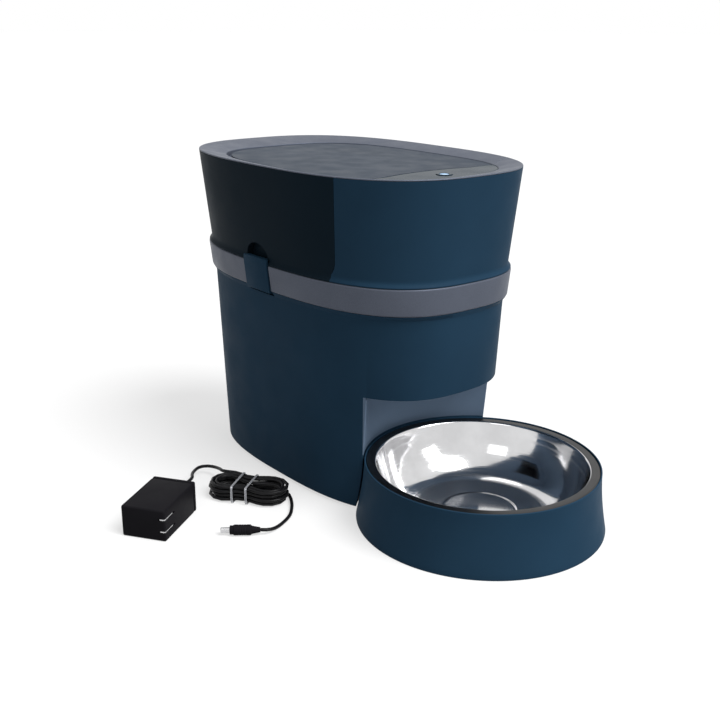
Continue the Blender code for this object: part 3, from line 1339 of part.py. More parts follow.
def make_feet():
    half_length, half_width = half_sizes(0.0)
    for i, (along, across) in enumerate(FOOT_SHARES, 1):
        foot = rod(f"rubber_foot_{i}", FOOT_RADIUS, (along * half_length, across * half_width, 0), FOOT_HEIGHT, "Z",
                   ROLLER_SIDES)
        finish(foot, "rubber")


def board_standoffs():
    inset = STANDOFF_RADIUS * 2
    x_low, x_high = MAIN_BOARD_BACK_X + inset, MAIN_BOARD_FRONT_X - inset
    y = MAIN_BOARD_HALF_WIDTH - inset
    return [(x_low, y), (x_high, y), (x_low, -y), (x_high, -y)]


def make_main_board():
    board = block("main_board", (MAIN_BOARD_BACK_X, -MAIN_BOARD_HALF_WIDTH, MAIN_BOARD_Z),
                  (MAIN_BOARD_FRONT_X, MAIN_BOARD_HALF_WIDTH, MAIN_BOARD_Z + BOARD_THICKNESS))
    middle = (MAIN_BOARD_BACK_X + MAIN_BOARD_FRONT_X) / 2
    chip = CHIP_HALF_LENGTH
    low = MAIN_BOARD_Z + BOARD_THICKNESS / 2
    top = MAIN_BOARD_Z + BOARD_THICKNESS
    join(board, block("processor", (middle - chip, -chip, low), (middle + chip, chip, top + CHIP_HEIGHT), tool=True))
    join(board, block("relay", (middle - chip, chip * 2, low), (middle + chip, chip * 3, top + RELAY_HEIGHT), tool=True))
    return finish(board, "board", smooth=False)


def make_inlet():
    """Round DC socket in the back wall: a flanged body with a bore and a short centre pin."""
    half_length, half_width = half_sizes(INLET_Z)
    back = half_width_at(INLET_Y, half_width, half_length, OUTLINE_POWER, 0.0)
    profile = [
        (0, INLET_LENGTH),
        (INLET_RADIUS, INLET_LENGTH),
        (INLET_RADIUS, 0),
        (INLET_FLANGE_RADIUS, 0),
        (INLET_FLANGE_RADIUS, -INLET_FLANGE_THICKNESS),
        (INLET_BORE_RADIUS, -INLET_FLANGE_THICKNESS),
        (INLET_BORE_RADIUS, INLET_BORE_DEPTH),
        (INLET_PIN_RADIUS, INLET_BORE_DEPTH),
        (INLET_PIN_RADIUS, INLET_BORE_DEPTH - INLET_PIN_LENGTH),
        (0, INLET_BORE_DEPTH - INLET_PIN_LENGTH),
    ]
    inlet = turned("power_inlet", profile, SMALL_SIDES)
    inlet.rotation_euler = (0, RIGHT_ANGLE, 0)
    slack = CLEARANCE * 2
    inlet.location = (-back - slack, INLET_Y, INLET_Z)
    return finish(inlet, "black")


# Bowl and holder
def make_bowl_holder():
    """A flared ring, open underneath, with a thin lip outside the seat of the bowl's flange."""
    rim = HOLDER_RIM_RADIUS
    top = HOLDER_HEIGHT
    seat_z = top - HOLDER_LIP_DEPTH
    outer = []
    for share in reversed(HOLDER_HEIGHT_SHARES[1:]):
        outer.append((holder_radius(top * share), top * share))
    foot = holder_radius(0)
    outer += [(foot, HOLDER_FOOT_EDGE), (foot - HOLDER_FOOT_EDGE, 0)]
    inner = [(foot - WALL, 0)]
    for share in HOLDER_HEIGHT_SHARES[1:-1]:
        inner.append((holder_radius(top * share) - WALL, top * share))
    under = seat_z - HOLDER_SEAT_FALL - WALL
    inner += [
        (rim - WALL, under),
        (HOLDER_SEAT_RADIUS + WALL, under),
        (HOLDER_SEAT_RADIUS + WALL, under - HOLDER_COLLAR_DEPTH),
        (HOLDER_SEAT_RADIUS, under - HOLDER_COLLAR_DEPTH),
        (HOLDER_SEAT_RADIUS, seat_z - HOLDER_SEAT_FALL),
        (rim - HOLDER_LIP, seat_z),
        (rim - HOLDER_LIP, top),
    ]
    holder = turned("bowl_holder", outer + inner, HOLDER_SIDES, closed=True)
    pivot = new_empty("holder_slide", (BOWL_X, 0, 0), FEEDER)
    holder.location = (BOWL_X, 0, 0)
    hang_on(pivot, finish(holder, "navy"))
    return holder


def bowl_profile():
    """Upper side of the bowl from its flange to the middle of its floor."""
    flange = HOLDER_RIM_RADIUS - HOLDER_LIP - CLEARANCE * 2
    flange_z = HOLDER_HEIGHT - HOLDER_LIP_DEPTH + CLEARANCE + BOWL_SHEET
    points = [
        (flange, flange_z),
        (flange - BOWL_FLANGE_EDGE, flange_z + BOWL_SHEET / 2),
        (BOWL_MOUTH_RADIUS + BOWL_FLANGE_EDGE, flange_z + BOWL_SHEET / 2),
        (BOWL_MOUTH_RADIUS, flange_z - BOWL_SHEET),
    ]
    depth = flange_z - BOWL_FLOOR_HEIGHT
    width = BOWL_MOUTH_RADIUS - BOWL_FLOOR_RADIUS
    for along, down in BOWL_SIDE_SHARES:
        points.append((BOWL_MOUTH_RADIUS - along * width, flange_z - down * depth))
    points += [
        (BOWL_RING_RADIUS + BOWL_RING_SLOPE, BOWL_FLOOR_HEIGHT),
        (BOWL_RING_RADIUS, BOWL_FLOOR_HEIGHT + BOWL_RING_RISE),
    ]
    return points


BOWL_SIDE_SHARES = ((0.07, 0.22), (0.18, 0.46), (0.36, 0.70), (0.64, 0.91), (1.0, 1.0))


def make_steel_bowl():
    upper = bowl_profile()
    lower = []
    for i, (r, z) in enumerate(upper):
        before = upper[max(i - 1, 0)]
        after = upper[min(i + 1, len(upper) - 1)]
        along = Vector((after[0] - before[0], after[1] - before[1])).normalized()
        lower.append((r - along.y * BOWL_SHEET, z + along.x * BOWL_SHEET))
    middle_top = (0, upper[-1][1])
    middle_low = (0, upper[-1][1] - BOWL_SHEET)
    profile = [middle_top] + list(reversed(upper)) + lower + [middle_low]
    bowl = turned("steel_bowl", profile, BOWL_SIDES)
    pivot = new_empty("bowl_lift", (BOWL_X, 0, HOLDER_HEIGHT), FEEDER)
    bowl.location = (BOWL_X, 0, 0)
    hang_on(pivot, finish(bowl, "steel"))
    return bowl


# Adapter, cord, hank and plug on the floor
def adapter_place():
    return Matrix.Translation((ADAPTER_X, ADAPTER_Y, 0)) @ Matrix.Rotation(ADAPTER_TURN, 4, "Z")


def prong_axis():
    """Where the prongs' upright pin stands in the adapter's own frame."""
    x = ADAPTER_WIDTH / 2 - PRONG_SINK - PRONG_WIDTH / 2
    y = -ADAPTER_LENGTH / 2 + PRONG_TIP_GAP + PRONG_LENGTH
    return Vector((x, y, ADAPTER_HEIGHT / 2))


def prong_outline():
    """A blade from above: round about its pin, with its point trimmed at both sides."""
    axis = prong_axis()
    half = PRONG_WIDTH / 2
    tip = axis.y - PRONG_LENGTH
    outline = []
    for i in range(PRONG_PIVOT_SIDES + 1):
        angle = math.pi * i / PRONG_PIVOT_SIDES
        outline.append((axis.x + half * math.cos(angle), axis.y + half * math.sin(angle)))
    return outline + [
        (axis.x - half, tip + PRONG_POINT),
        (axis.x - half + PRONG_POINT, tip),
        (axis.x + half - PRONG_POINT, tip),
        (axis.x + half, tip + PRONG_POINT),
    ]


def prong_heights():
    """Undersides of both blades."""
    middle = prong_axis().z - PRONG_THICKNESS / 2
    return middle - PRONG_SPACING / 2, middle + PRONG_SPACING / 2


def make_adapter():
    """A wall adapter on its side: a case, the cap at its cord end, and two blades that fold into slots."""
    half = ADAPTER_WIDTH / 2
    front, back = -ADAPTER_LENGTH / 2, ADAPTER_LENGTH / 2
    case = block("adapter_case", (-half, front, 0), (half, back - ADAPTER_CAP - CLEARANCE, ADAPTER_HEIGHT))
    cap = block("adapter_cap", (-half, back - ADAPTER_CAP, 0), (half, back, ADAPTER_HEIGHT))
    rounded(case, ADAPTER_EDGE)
    rounded(cap, ADAPTER_EDGE)
    axis = prong_axis()
    low, high = prong_heights()
    pin_low = low - PRONG_PIN_OVER
    pin_high = high + PRONG_THICKNESS + PRONG_PIN_OVER
    prongs = rod("folding_prongs", PRONG_PIN_RADIUS, (axis.x, axis.y, pin_low), pin_high - pin_low, "Z", SMALL_SIDES)
    room = rod("prong_pin_room", PRONG_PIN_RADIUS + PIN_CLEARANCE, (axis.x, axis.y, pin_low - CLEARANCE),
               pin_high - pin_low + CLEARANCE * 2, "Z", SMALL_SIDES, tool=True)
    for name, z in (("lower", low), ("upper", high)):
        join(prongs, plate(f"blade_{name}", [prong_outline()], z, z + PRONG_THICKNESS, tool=True))
        join(room, block(f"slot_{name}", (axis.x - PRONG_WIDTH / 2 - CLEARANCE, front - CUT_OVERRUN, z - CLEARANCE),
                         (half + CUT_OVERRUN, axis.y + PRONG_WIDTH / 2 + CLEARANCE, z + PRONG_THICKNESS + CLEARANCE),
                         tool=True))
    for tool in [room] + [modifier.object for piece in (prongs, room) for modifier in piece.modifiers]:
        tool.matrix_basis = adapter_place()
    cut(case, room)
    relief = turned("adapter_strain_relief", [
        (0, RELIEF_LENGTH),
        (RELIEF_TIP_RADIUS, RELIEF_LENGTH),
        (RELIEF_RADIUS, RELIEF_LENGTH / 4),
        (RELIEF_RADIUS, 0),
        (0, 0),
    ], SMALL_SIDES)
    relief.matrix_basis = adapter_place() @ Matrix.Translation(relief_root()) @ AXIS_TURNS["Y"]
    for piece in (case, cap, prongs):
        piece.matrix_basis = adapter_place()
    pivot = new_empty("prong_pivot", adapter_place() @ axis, FEEDER)
    hang_on(pivot, finish(prongs, "steel", smooth=False))
    finish(case, "black")
    finish(cap, "black")
    finish(relief, "black")


def relief_root():
    """Where the relief leaves the adapter's back, in the adapter's own frame."""
    return Vector((0, ADAPTER_LENGTH / 2 + CLEARANCE, RELIEF_Z))


def relief_tip():
    tip = relief_root() + Vector((0, RELIEF_LENGTH + CLEARANCE, 0))
    return adapter_place() @ tip


def relief_heading():
    return adapter_place().to_3x3() @ Vector((0, 1, 0))


def hank_place(u, v, z):
    c, s = math.cos(HANK_TURN), math.sin(HANK_TURN)
    return Vector((HANK_X + u * c - v * s, HANK_Y + u * s + v * c, z))


def hank_heading(angle):
    """A direction in the hank's plane, angle from its run."""
    return (hank_place(math.cos(angle), math.sin(angle), 0) - hank_place(0, 0, 0)).normalized()


def smooth_step(share):
    share = min(1.0, max(0.0, share))
    return share * share * (3 - 2 * share)


def hank_point(turn):
    """Centre of the cord after a number of turns, from the top outer loop down to the floor's outer loop.

    Each loop is a run, a half round, a run back and a half round. The spiral goes in over one layer and out over
    the next, and drops a layer along the run in which it reverses.
    """
    quarter = 1 / 4
    per_layer = HANK_LOOPS_PER_LAYER
    reverse = per_layer + quarter / 2
    along = (turn - reverse) / per_layer
    if along > HANK_LAYERS - 1:
        wave = along - (HANK_LAYERS - 2)
    else:
        wave = abs((along + 1) % 2 - 1) if along > 0 else -along
    radius = HANK_INNER_RADIUS + HANK_PITCH * per_layer * wave
    dropped = sum(smooth_step((turn - per_layer * k) / quarter) for k in range(1, HANK_LAYERS))
    z = HANK_LIFT + CORD_DIAMETER / 2 + HANK_LAYER * (HANK_LAYERS - 1 - dropped)
    share = turn % 1
    half = HANK_RUN / 2
    if share < quarter:
        u, v, side = -half + HANK_RUN * share / quarter, radius, 1
    elif share < 2 * quarter:
        angle = math.pi * (share - quarter) / quarter
        return hank_place(half + radius * math.sin(angle), radius * math.cos(angle), z)
    elif share < 3 * quarter:
        u, v, side = half - HANK_RUN * (share - 2 * quarter) / quarter, -radius, -1
    else:
        angle = math.pi * (share - 3 * quarter) / quarter
        return hank_place(-half - radius * math.sin(angle), -radius * math.cos(angle), z)
    return hank_place(u, v - side * waist_at(u), z)


def waist_at(u):
    """How far both runs are drawn in at a place along the hank, most where the tie holds them."""
    middle = HANK_WAIST_SHARE * HANK_RUN
    reach = HANK_RUN / 2 + (middle if u < middle else -middle)
    return HANK_WAIST * math.cos(RIGHT_ANGLE * min(1.0, abs(u - middle) / reach)) ** 2


HANK_END_STEPS = 8


def hank_points():
    """The whole hank as one line, with a straight end of one diameter at each end."""
    steps = HANK_LAYERS * HANK_LOOPS_PER_LAYER * HANK_LOOP_STEPS + HANK_END_STEPS
    points = [hank_point(i / HANK_LOOP_STEPS) for i in range(steps + 1)]
    last = points[-1]
    start = hank_start_heading()
    end = hank_end_heading()
    return [points[0] - start * CORD_DIAMETER] + points + [last + end * CORD_DIAMETER]


def hank_start_heading():
    return hank_heading(0.0)


def hank_end_heading():
    angle = math.pi * (HANK_END_STEPS / HANK_LOOP_STEPS - 1 / 4) * 4
    return hank_heading(-angle)


def least_gap(points):
    """Least clear distance between parts of a line that aren't neighbours along it."""
    fine = []
    for a, b in zip(points, points[1:]):
        fine += [a + (b - a) * share for share in (0.0, 0.25, 0.5, 0.75)]
    places = np.array([tuple(p) for p in fine])
    steps = np.linalg.norm(np.diff(places, axis=0), axis=1)
    travelled = np.concatenate(([0], np.cumsum(steps)))
    apart = np.linalg.norm(places[:, None] - places[None], axis=2)
    neighbours = np.abs(travelled[:, None] - travelled[None]) < CORD_DIAMETER * 4
    apart[neighbours] = np.inf
    return float(apart.min()) - CORD_DIAMETER


def smooth_route(knots, spacing):
    """Evenly spaced points on a smooth curve through the knots."""
    knots = [Vector(k) for k in knots]
    line = []
    for i in range(len(knots) - 1):
        before = knots[max(i - 1, 0)]
        after = knots[min(i + 2, len(knots) - 1)]
        a, b = knots[i], knots[i + 1]
        slope_a, slope_b = (b - before) / 2, (after - a) / 2
        for step in range(ROUND_SIDES):
            t = step / ROUND_SIDES
            line.append(a * (2 * t**3 - 3 * t**2 + 1) + slope_a * (t**3 - 2 * t**2 + t)
                        + b * (3 * t**2 - 2 * t**3) + slope_b * (t**3 - t**2))
    line.append(knots[-1])
    travelled = [0.0]
    for a, b in zip(line, line[1:]):
        travelled.append(travelled[-1] + (b - a).length)
    count = max(2, round(travelled[-1] / spacing))
    places = []
    for i in range(count + 1):
        distance = travelled[-1] * i / count
        place = [float(np.interp(distance, travelled, [p[axis] for p in line])) for axis in range(3)]
        places.append(Vector(place))
    return places


def first_lead_knots():
    """From the adapter's relief over the floor in a loose bend, then up onto the hank."""
    tip, heading = relief_tip(), relief_heading()
    start, run_in = hank_points()[0], hank_start_heading()
    gap = run_in * CLEARANCE
    return [tip, tip + heading * CORD_DIAMETER * 2] + [Vector(k) for k in FIRST_LEAD] + [
        start - gap - run_in * CORD_DIAMETER * 3, start - gap]


def second_lead_knots():
    """From the hank round to the back of the plug."""
    end, run_out = hank_points()[-1], hank_end_heading()
    back = plug_place() @ Vector((0, 0, -CLEARANCE))
    heading = plug_heading()
    gap = run_out * CLEARANCE
    return [end + gap, end + gap + run_out * CORD_DIAMETER * 2] + [Vector(k) for k in SECOND_LEAD] + [
        back - heading * CORD_DIAMETER * 2, back]


FIRST_LEAD = (
    (-0.0240, -0.1935, 0.0145),
    (-0.0356, -0.1860, 0.0130),
    (-0.0455, -0.1772, 0.0110),
    (-0.0525, -0.1680, 0.0095),
    (-0.0525, -0.1605, 0.0090),
    (-0.0450, -0.1560, 0.0100),
    (-0.0320, -0.1550, 0.0120),
)
SECOND_LEAD = (
    (0.0716, -0.1343, 0.0022),
    (0.0862, -0.1473, 0.0020),
    (0.0958, -0.1638, 0.0020),
    (0.1010, -0.1760, 0.0032),
)


def plug_heading():
    return Vector((math.cos(PLUG_TURN), math.sin(PLUG_TURN), 0))


def plug_place():
    """The plug's own frame: its Z runs from the cord to the barrel."""
    return Matrix.Translation((PLUG_X, PLUG_Y, PLUG_Z)) @ plug_heading().to_track_quat("Z", "X").to_matrix().to_4x4()


def make_plug():
    neck_end = PLUG_NECK_LENGTH
    grip_end = neck_end + PLUG_GRIP_LENGTH
    nose_end = grip_end + PLUG_NOSE_LENGTH
    edge = PLUG_TAIL_RADIUS / 2
    grip = turned("plug_grip", [
        (0, nose_end),
        (PLUG_NOSE_RADIUS, nose_end),
        (PLUG_NOSE_RADIUS, grip_end),
        (PLUG_GRIP_RADIUS, grip_end - edge),
        (PLUG_GRIP_RADIUS, neck_end + edge),
        (PLUG_NECK_RADIUS, neck_end),
        (PLUG_TAIL_RADIUS, 0),
        (0, 0),
    ], SMALL_SIDES)
    grip.matrix_basis = plug_place()
    low = nose_end + CLEARANCE
    barrel = turned("plug_barrel", [
        (0, low + BARREL_RADIUS),
        (BARREL_BORE_RADIUS, low + BARREL_RADIUS),
        (BARREL_BORE_RADIUS, low + BARREL_LENGTH),
        (BARREL_RADIUS, low + BARREL_LENGTH),
        (BARREL_RADIUS, low),
        (0, low),
    ], SMALL_SIDES)
    barrel.matrix_basis = plug_place()
    finish(grip, "black")
    finish(barrel, "steel")


def make_cord():
    hank = hank_points()
    print(f"least gap of the hank to itself: {least_gap(hank) * 1000:.2f} mm")
    radius = CORD_DIAMETER / 2
    spacing = CORD_DIAMETER * CORD_SPACING_SHARE
    finish(tube("cord_hank", hank, radius, 1), "cord")
    finish(tube("cord_from_adapter", smooth_route(first_lead_knots(), spacing), radius, 2), "cord")
    finish(tube("cord_to_plug", smooth_route(second_lead_knots(), spacing), radius, 2), "cord")


def tie_points():
    """Two turns of tie wire that step along the waist of the hank and follow its narrowing sides."""
    middle = HANK_WAIST_SHARE * HANK_RUN
    outer = HANK_INNER_RADIUS + HANK_PITCH * (HANK_LOOPS_PER_LAYER + 1 / 8)
    corner = CORD_DIAMETER / 2 + TIE_GAP + TIE_RADIUS
    low = HANK_LIFT + CORD_DIAMETER / 2
    high = low + HANK_LAYER * (HANK_LAYERS - 1)
    corners = ((1, high), (-1, high), (-1, low), (1, low))
    count = TIE_TURNS * len(corners) * TIE_CORNER_POINTS
    points = []
    for i in range(count + 1):
        u = middle + TIE_SPREAD * (i / count - 1 / 2)
        side, z = corners[i // TIE_CORNER_POINTS % len(corners)]
        angle = RIGHT_ANGLE * (i // TIE_CORNER_POINTS + i % TIE_CORNER_POINTS / (TIE_CORNER_POINTS - 1))
        v = side * (outer - waist_at(u) + TIE_SPREAD * TIE_SLACK_SHARE)
        points.append(hank_place(u, v + corner * math.cos(angle), z + corner * math.sin(angle)))
    return points


TIE_TURNS = 2
TIE_CORNER_POINTS = 3
TIE_SLACK_SHARE = 0.05


def make_tie():
    return finish(tube("cord_tie", tie_points(), TIE_RADIUS, 1), "tie")


# Everything together
def make_moving_groups():
    """Empties for the joints whose pieces are made elsewhere."""
    parts = PARTS.objects
    hopper_lift = new_empty("hopper_lift", (0, 0, SHELL_BOTTOM), FEEDER)
    hang_on(hopper_lift, parts["hopper"], parts["lid_rim"])
    drive = new_empty("drive_roller_spin", (ROLLER_FRONT_X, 0, ROLLER_Z), FEEDER)
    hang_on(drive, parts["drive_roller"], parts["roller_gear"])
    idler = new_empty("idler_roller_spin", (ROLLER_REAR_X, 0, ROLLER_Z), FEEDER)
    hang_on(idler, parts["idler_roller"])
    pinion = new_empty("motor_pinion_spin", (pinion_x(), 0, ROLLER_Z), FEEDER)
    hang_on(pinion, parts["motor_pinion"], parts["pinion_shaft"])


clear_scene()
PARTS = new_collection("pet_food_dispenser")
CUTTERS = new_collection("cutters")
MATERIALS = make_materials()
FEEDER = new_empty("feeder", (BODY_X, 0, 0))

make_lower_housing()
make_deck()
make_trim_band()
make_latch(-1, "latch_near")
make_latch(1, "latch_far")
make_front_shell()
make_hopper()
make_lid_rim()
make_front_cap()
make_lid()
make_control_panel()
make_control_board(make_button())
make_belt()
make_roller("drive_roller", ROLLER_FRONT_X, GEAR_OUT_Y + GEAR_FACE)
make_roller("idler_roller", ROLLER_REAR_X, FRAME_HALF_WIDTH + CLEARANCE)
make_conveyor_frame()
make_gear_train()
make_gearmotor()
make_chute()
make_base_plate()
make_battery_door()
make_contacts()
make_feet()
make_main_board()
make_inlet()
make_bowl_holder()
make_steel_bowl()
make_adapter()
make_cord()
make_tie()
make_plug()
make_moving_groups()
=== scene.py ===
"""Looks of the automatic pet food dispenser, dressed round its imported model.

Metres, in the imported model's frame. Shapes are drawn about the housing's centre line and then moved to it.
"""

import json
import math

import bmesh
import bpy
import numpy as np
from mathutils import Matrix, Vector


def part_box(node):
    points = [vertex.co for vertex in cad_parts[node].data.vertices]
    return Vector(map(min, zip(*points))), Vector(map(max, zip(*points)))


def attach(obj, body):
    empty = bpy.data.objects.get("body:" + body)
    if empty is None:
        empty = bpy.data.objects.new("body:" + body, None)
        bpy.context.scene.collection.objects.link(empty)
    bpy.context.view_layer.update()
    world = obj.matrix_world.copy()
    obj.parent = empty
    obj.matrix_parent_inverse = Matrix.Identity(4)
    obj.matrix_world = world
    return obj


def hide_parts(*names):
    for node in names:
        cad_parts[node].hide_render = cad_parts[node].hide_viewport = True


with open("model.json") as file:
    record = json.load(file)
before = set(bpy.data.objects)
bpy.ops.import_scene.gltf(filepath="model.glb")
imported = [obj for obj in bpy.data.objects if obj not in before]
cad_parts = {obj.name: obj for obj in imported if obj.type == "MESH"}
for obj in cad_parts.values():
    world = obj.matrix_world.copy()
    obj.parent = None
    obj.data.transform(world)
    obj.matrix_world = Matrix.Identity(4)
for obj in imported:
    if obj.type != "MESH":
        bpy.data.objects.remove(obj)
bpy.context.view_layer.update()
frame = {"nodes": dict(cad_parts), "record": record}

# The housing's centre line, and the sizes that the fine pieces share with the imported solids
HOUSING_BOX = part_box("lower_housing")
BODY_X = (HOUSING_BOX[0].x + HOUSING_BOX[1].x) / 2
HEIGHT = 0.335
BAND_TOP = 0.235
BAND_BOTTOM = 0.208
TOP_HALF_LENGTH = 0.1845
TOP_HALF_WIDTH = 0.1235
BAND_TOP_HALF_LENGTH = 0.1775
BAND_TOP_HALF_WIDTH = 0.1115
BAND_BOTTOM_HALF_LENGTH = 0.1760
BAND_BOTTOM_HALF_WIDTH = 0.1080
FLOOR_HALF_LENGTH = 0.1685
FLOOR_HALF_WIDTH = 0.0995
OUTLINE_POWER = 2.78
WALL = 0.0025
CLEARANCE = 0.0003
OVERRUN = 0.005
CUT_HALF_LENGTH = TOP_HALF_LENGTH + OVERRUN
CUT_HALF_WIDTH = TOP_HALF_WIDTH + OVERRUN

HOUSING_BOTTOM = 0.0024
HOUSING_EDGE = 0.0015
SHOULDER_BOTTOM = 0.2035
SHOULDER_OUT = 0.0026
SHOULDER_LIP = 0.0004
NECK_INSET = 0.0030

BOWL_X = 0.2028
HOLDER_HEIGHT = 0.0614
HOLDER_RIM_RADIUS = 0.1146
HOLDER_FLARE = 0.0080
HOLDER_FLARE_POWER = 1.7
HOLDER_LIP = 0.0014
HOLDER_LIP_DEPTH = 0.0024
HOLDER_SEAT_RADIUS = 0.1045
HOLDER_SEAT_FALL = 0.0010
HOLDER_COLLAR_DEPTH = 0.008
HOLDER_FOOT_EDGE = 0.0012
HOLDER_FOOT_SHARE = 0.3
HOLDER_ROUNDS = (0, 0.0006, 0.0004, 0.0005, 0.0006, 0)
NICHE_CLEARANCE = 0.0012
NICHE_TOP = 0.123
NICHE_TOP_LEAN = 0.0030
NICHE_EDGE = 0.0016
MOUTH_LOW_X = 0.1105
MOUTH_HIGH_X = 0.1495
MOUTH_HALF_WIDTH = 0.0345

BOWL_SHEET = 0.0009
BOWL_MOUTH_RADIUS = 0.1030
BOWL_FLOOR_RADIUS = 0.0600
BOWL_FLOOR_HEIGHT = 0.0080
BOWL_RING_RADIUS = 0.0350
BOWL_RING_RISE = 0.0018
BOWL_RING_SLOPE = 0.0030
BOWL_FLANGE_ROLL = 0.0013
BOWL_SIDE_SHARES = ((0.07, 0.22), (0.18, 0.46), (0.36, 0.70), (0.64, 0.91))
BOWL_ROUNDS = (0, 0.0006, 0.0010, 0.0016, 0.012, 0.012, 0.012, 0.012, 0.014, 0.0024, 0.0024, 0)

BAND_OUT = 0.0035
BAND_EDGE = 0.0010
BAND_ROUNDS = (0.0004, 0.0008, 0.0009, 0.0009, 0, 0)
LATCH_X = -0.0120
LATCH_WIDTH = 0.0400
LATCH_GAP = 0.0020
LATCH_BOTTOM = 0.2060
LATCH_TOP = 0.2410
LATCH_PROUD = 0.0013
LATCH_THICKNESS = 0.0034
LATCH_EDGE = 0.0012
LATCH_BEND = 0.0040
LATCH_SOFT_EDGE = 0.0007
LATCH_BARREL_RADIUS = 0.0029
LATCH_PIN_RADIUS = 0.0012
LATCH_PIN_HEIGHT = 0.2110
LATCH_PIN_OUT = 0.0006
LATCH_HOOK_REACH = 0.0024
LATCH_HOOK_HEIGHT = 0.0030
LATCH_HOOK_WIDTH = 0.0330
LATCH_POCKET_DEPTH = 0.0036
LATCH_POCKET_BELOW = 0.0030
LATCH_WEB_OUT = 0.0008
FINGER_NOTCH_WIDTH = 0.0370
FINGER_NOTCH_TOP = 0.2550
FINGER_NOTCH_DEPTH = 0.0075

SHELL_BOTTOM = BAND_TOP + CLEARANCE
SHELL_TOP = 0.3332
SKIRT_OUT = 0.0030
SKIRT_FACE = 0.0010
SKIRT_LIP = 0.0004
SKIRT_TOP = 0.2397
SHELL_ROUNDS = (0, 0.0006, 0.0030, 0)
BULKHEAD_X = 0.1096
SEAM_LOW_X = 0.1035
SEAM_TOP_X = 0.1109
SEAM_CORNER_RADIUS = 0.0220
SEAM_WEB_END = 0.0150
BIN_FLOOR = 0.0027
BIN_FRONT_TOP = 0.3220
FUNNEL_OUTLET_X = -0.0250
FUNNEL_OUTLET_HALF_LENGTH = 0.0395
FUNNEL_OUTLET_HALF_WIDTH = 0.0350
FUNNEL_OUTLET_POWER = 6.0
FUNNEL_OUTLET_Z = 0.1690
FUNNEL_NECK_Z = 0.1770
FUNNEL_TOP_X = -0.0320
FUNNEL_TOP_HALF_LENGTH = 0.1270
FUNNEL_TOP_HALF_WIDTH = 0.0985
FUNNEL_TOP_POWER = 2.8

RIM_CROWN_DROP = 0.0006
RIM_CROWN = 0.0010
RIM_INNER_DROP = 0.0050
RIM_UNDER_INSET = 0.0032
RIM_ROUNDS = (0, 0.0002, 0.0006, 0.0012, 0.0008, 0, 0.0004, 0.0004, 0)
OPENING_X = 0.0065
OPENING_HALF_LENGTH = 0.1495
OPENING_HALF_WIDTH = 0.1000
OPENING_POWER = 3.2
LEDGE_Z = 0.3245
LEDGE_THICKNESS = 0.0020
LEDGE_REACH = 0.0100
LEDGE_REAR_REACH = 0.0180
LEDGE_ROOT = 0.0020
RIM_SEAM_OUTER_X = 0.1120
RIM_SEAM_OUTER_Y = 0.1115
RIM_SEAM_INNER_X = 0.1171
RIM_SEAM_INNER_Y = 0.0850
HINGE_RELIEF_BACK = 0.0060
HINGE_RELIEF_FRONT = 0.0056
LID_THICKNESS = 0.0032
LID_EDGE = 0.0007
LID_SINK = 0.0003
LID_SIDE_GAP = 0.0014
LID_FRONT_GAP = 0.0016
LID_FINGER_GAP = 0.0090
LID_FRONT_X = 0.1160
LID_HINGE_X = 0.1120
LID_HINGE_DROP = 0.0011
LID_PIN_RADIUS = 0.0008
LID_PIN_REACH = 0.0030
LID_PIN_ROOT = 0.0040
PANEL_THICKNESS = 0.0050
PANEL_BACK_X = 0.1096
PANEL_BACK_RADIUS = 0.2210
PANEL_BACK_EDGE = 0.0010
PANEL_GAP = 0.0003
PANEL_EDGE = 0.0004
PANEL_EDGE_REACH = 0.0020
BUTTON_X = 0.1360
BUTTON_RADIUS = 0.0078
BUTTON_CLEARANCE = 0.0004
BUTTON_PROUD = 0.0006
BUTTON_ROUNDS = (0.0003, 0.0005, 0, 0)
LIGHT_RADIUS = 0.0045
LIGHT_DROP = 0.0004
LIGHT_DOME = 0.0003

ADAPTER_X = 0.0172
ADAPTER_Y = -0.2533
ADAPTER_TURN = math.radians(34.5)
ADAPTER_WIDTH = 0.0455
ADAPTER_LENGTH = 0.0694
ADAPTER_HEIGHT = 0.0320
ADAPTER_EDGE = 0.0019
ADAPTER_CAP = 0.0050
PRONG_SPACING = 0.0127
PRONG_WIDTH = 0.0063
PRONG_THICKNESS = 0.0015
PRONG_LENGTH = 0.0165
PRONG_SINK = 0.0006
PRONG_TIP_GAP = 0.0008
RELIEF_LENGTH = 0.0080
RELIEF_RADIUS = 0.0038
RELIEF_TIP_RADIUS = 0.0026
RELIEF_Z = 0.0160
RELIEF_ROOT_SHARE = 0.22
RELIEF_TAPER_START = 0.2
RELIEF_GROOVES = (0.30, 0.52, 0.74)
RELIEF_GROOVE_SHAPE = ((0.0, 0.80), (0.06, 0.80), (0.08, 0.97), (0.20, 0.97))

# The cord's own sizes and route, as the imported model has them
CORD_DIAMETER = 0.0035
LEAD_SPACING = CORD_DIAMETER * 1.6
HANK_X = 0.0245
HANK_Y = -0.1550
HANK_TURN = math.radians(35.0)
HANK_RUN = 0.0450
HANK_INNER_RADIUS = 0.0110
HANK_PITCH = 0.0044
HANK_LAYER = 0.0042
HANK_LAYERS = 4
HANK_LOOPS_PER_LAYER = 2
HANK_LOOP_STEPS = 24
HANK_END_STEPS = 8
HANK_LIFT = 0.0016
HANK_WAIST = 0.0055
HANK_WAIST_SHARE = -0.08
FIRST_LEAD = (
    (-0.0240, -0.1935, 0.0145),
    (-0.0356, -0.1860, 0.0130),
    (-0.0455, -0.1772, 0.0110),
    (-0.0525, -0.1680, 0.0095),
    (-0.0525, -0.1605, 0.0090),
    (-0.0450, -0.1560, 0.0100),
    (-0.0320, -0.1550, 0.0120),
)
SECOND_LEAD = (
    (0.0716, -0.1343, 0.0022),
    (0.0862, -0.1473, 0.0020),
    (0.0958, -0.1638, 0.0020),
    (0.1010, -0.1760, 0.0032),
)
TIE_RADIUS = 0.0005
TIE_GAP = 0.0004
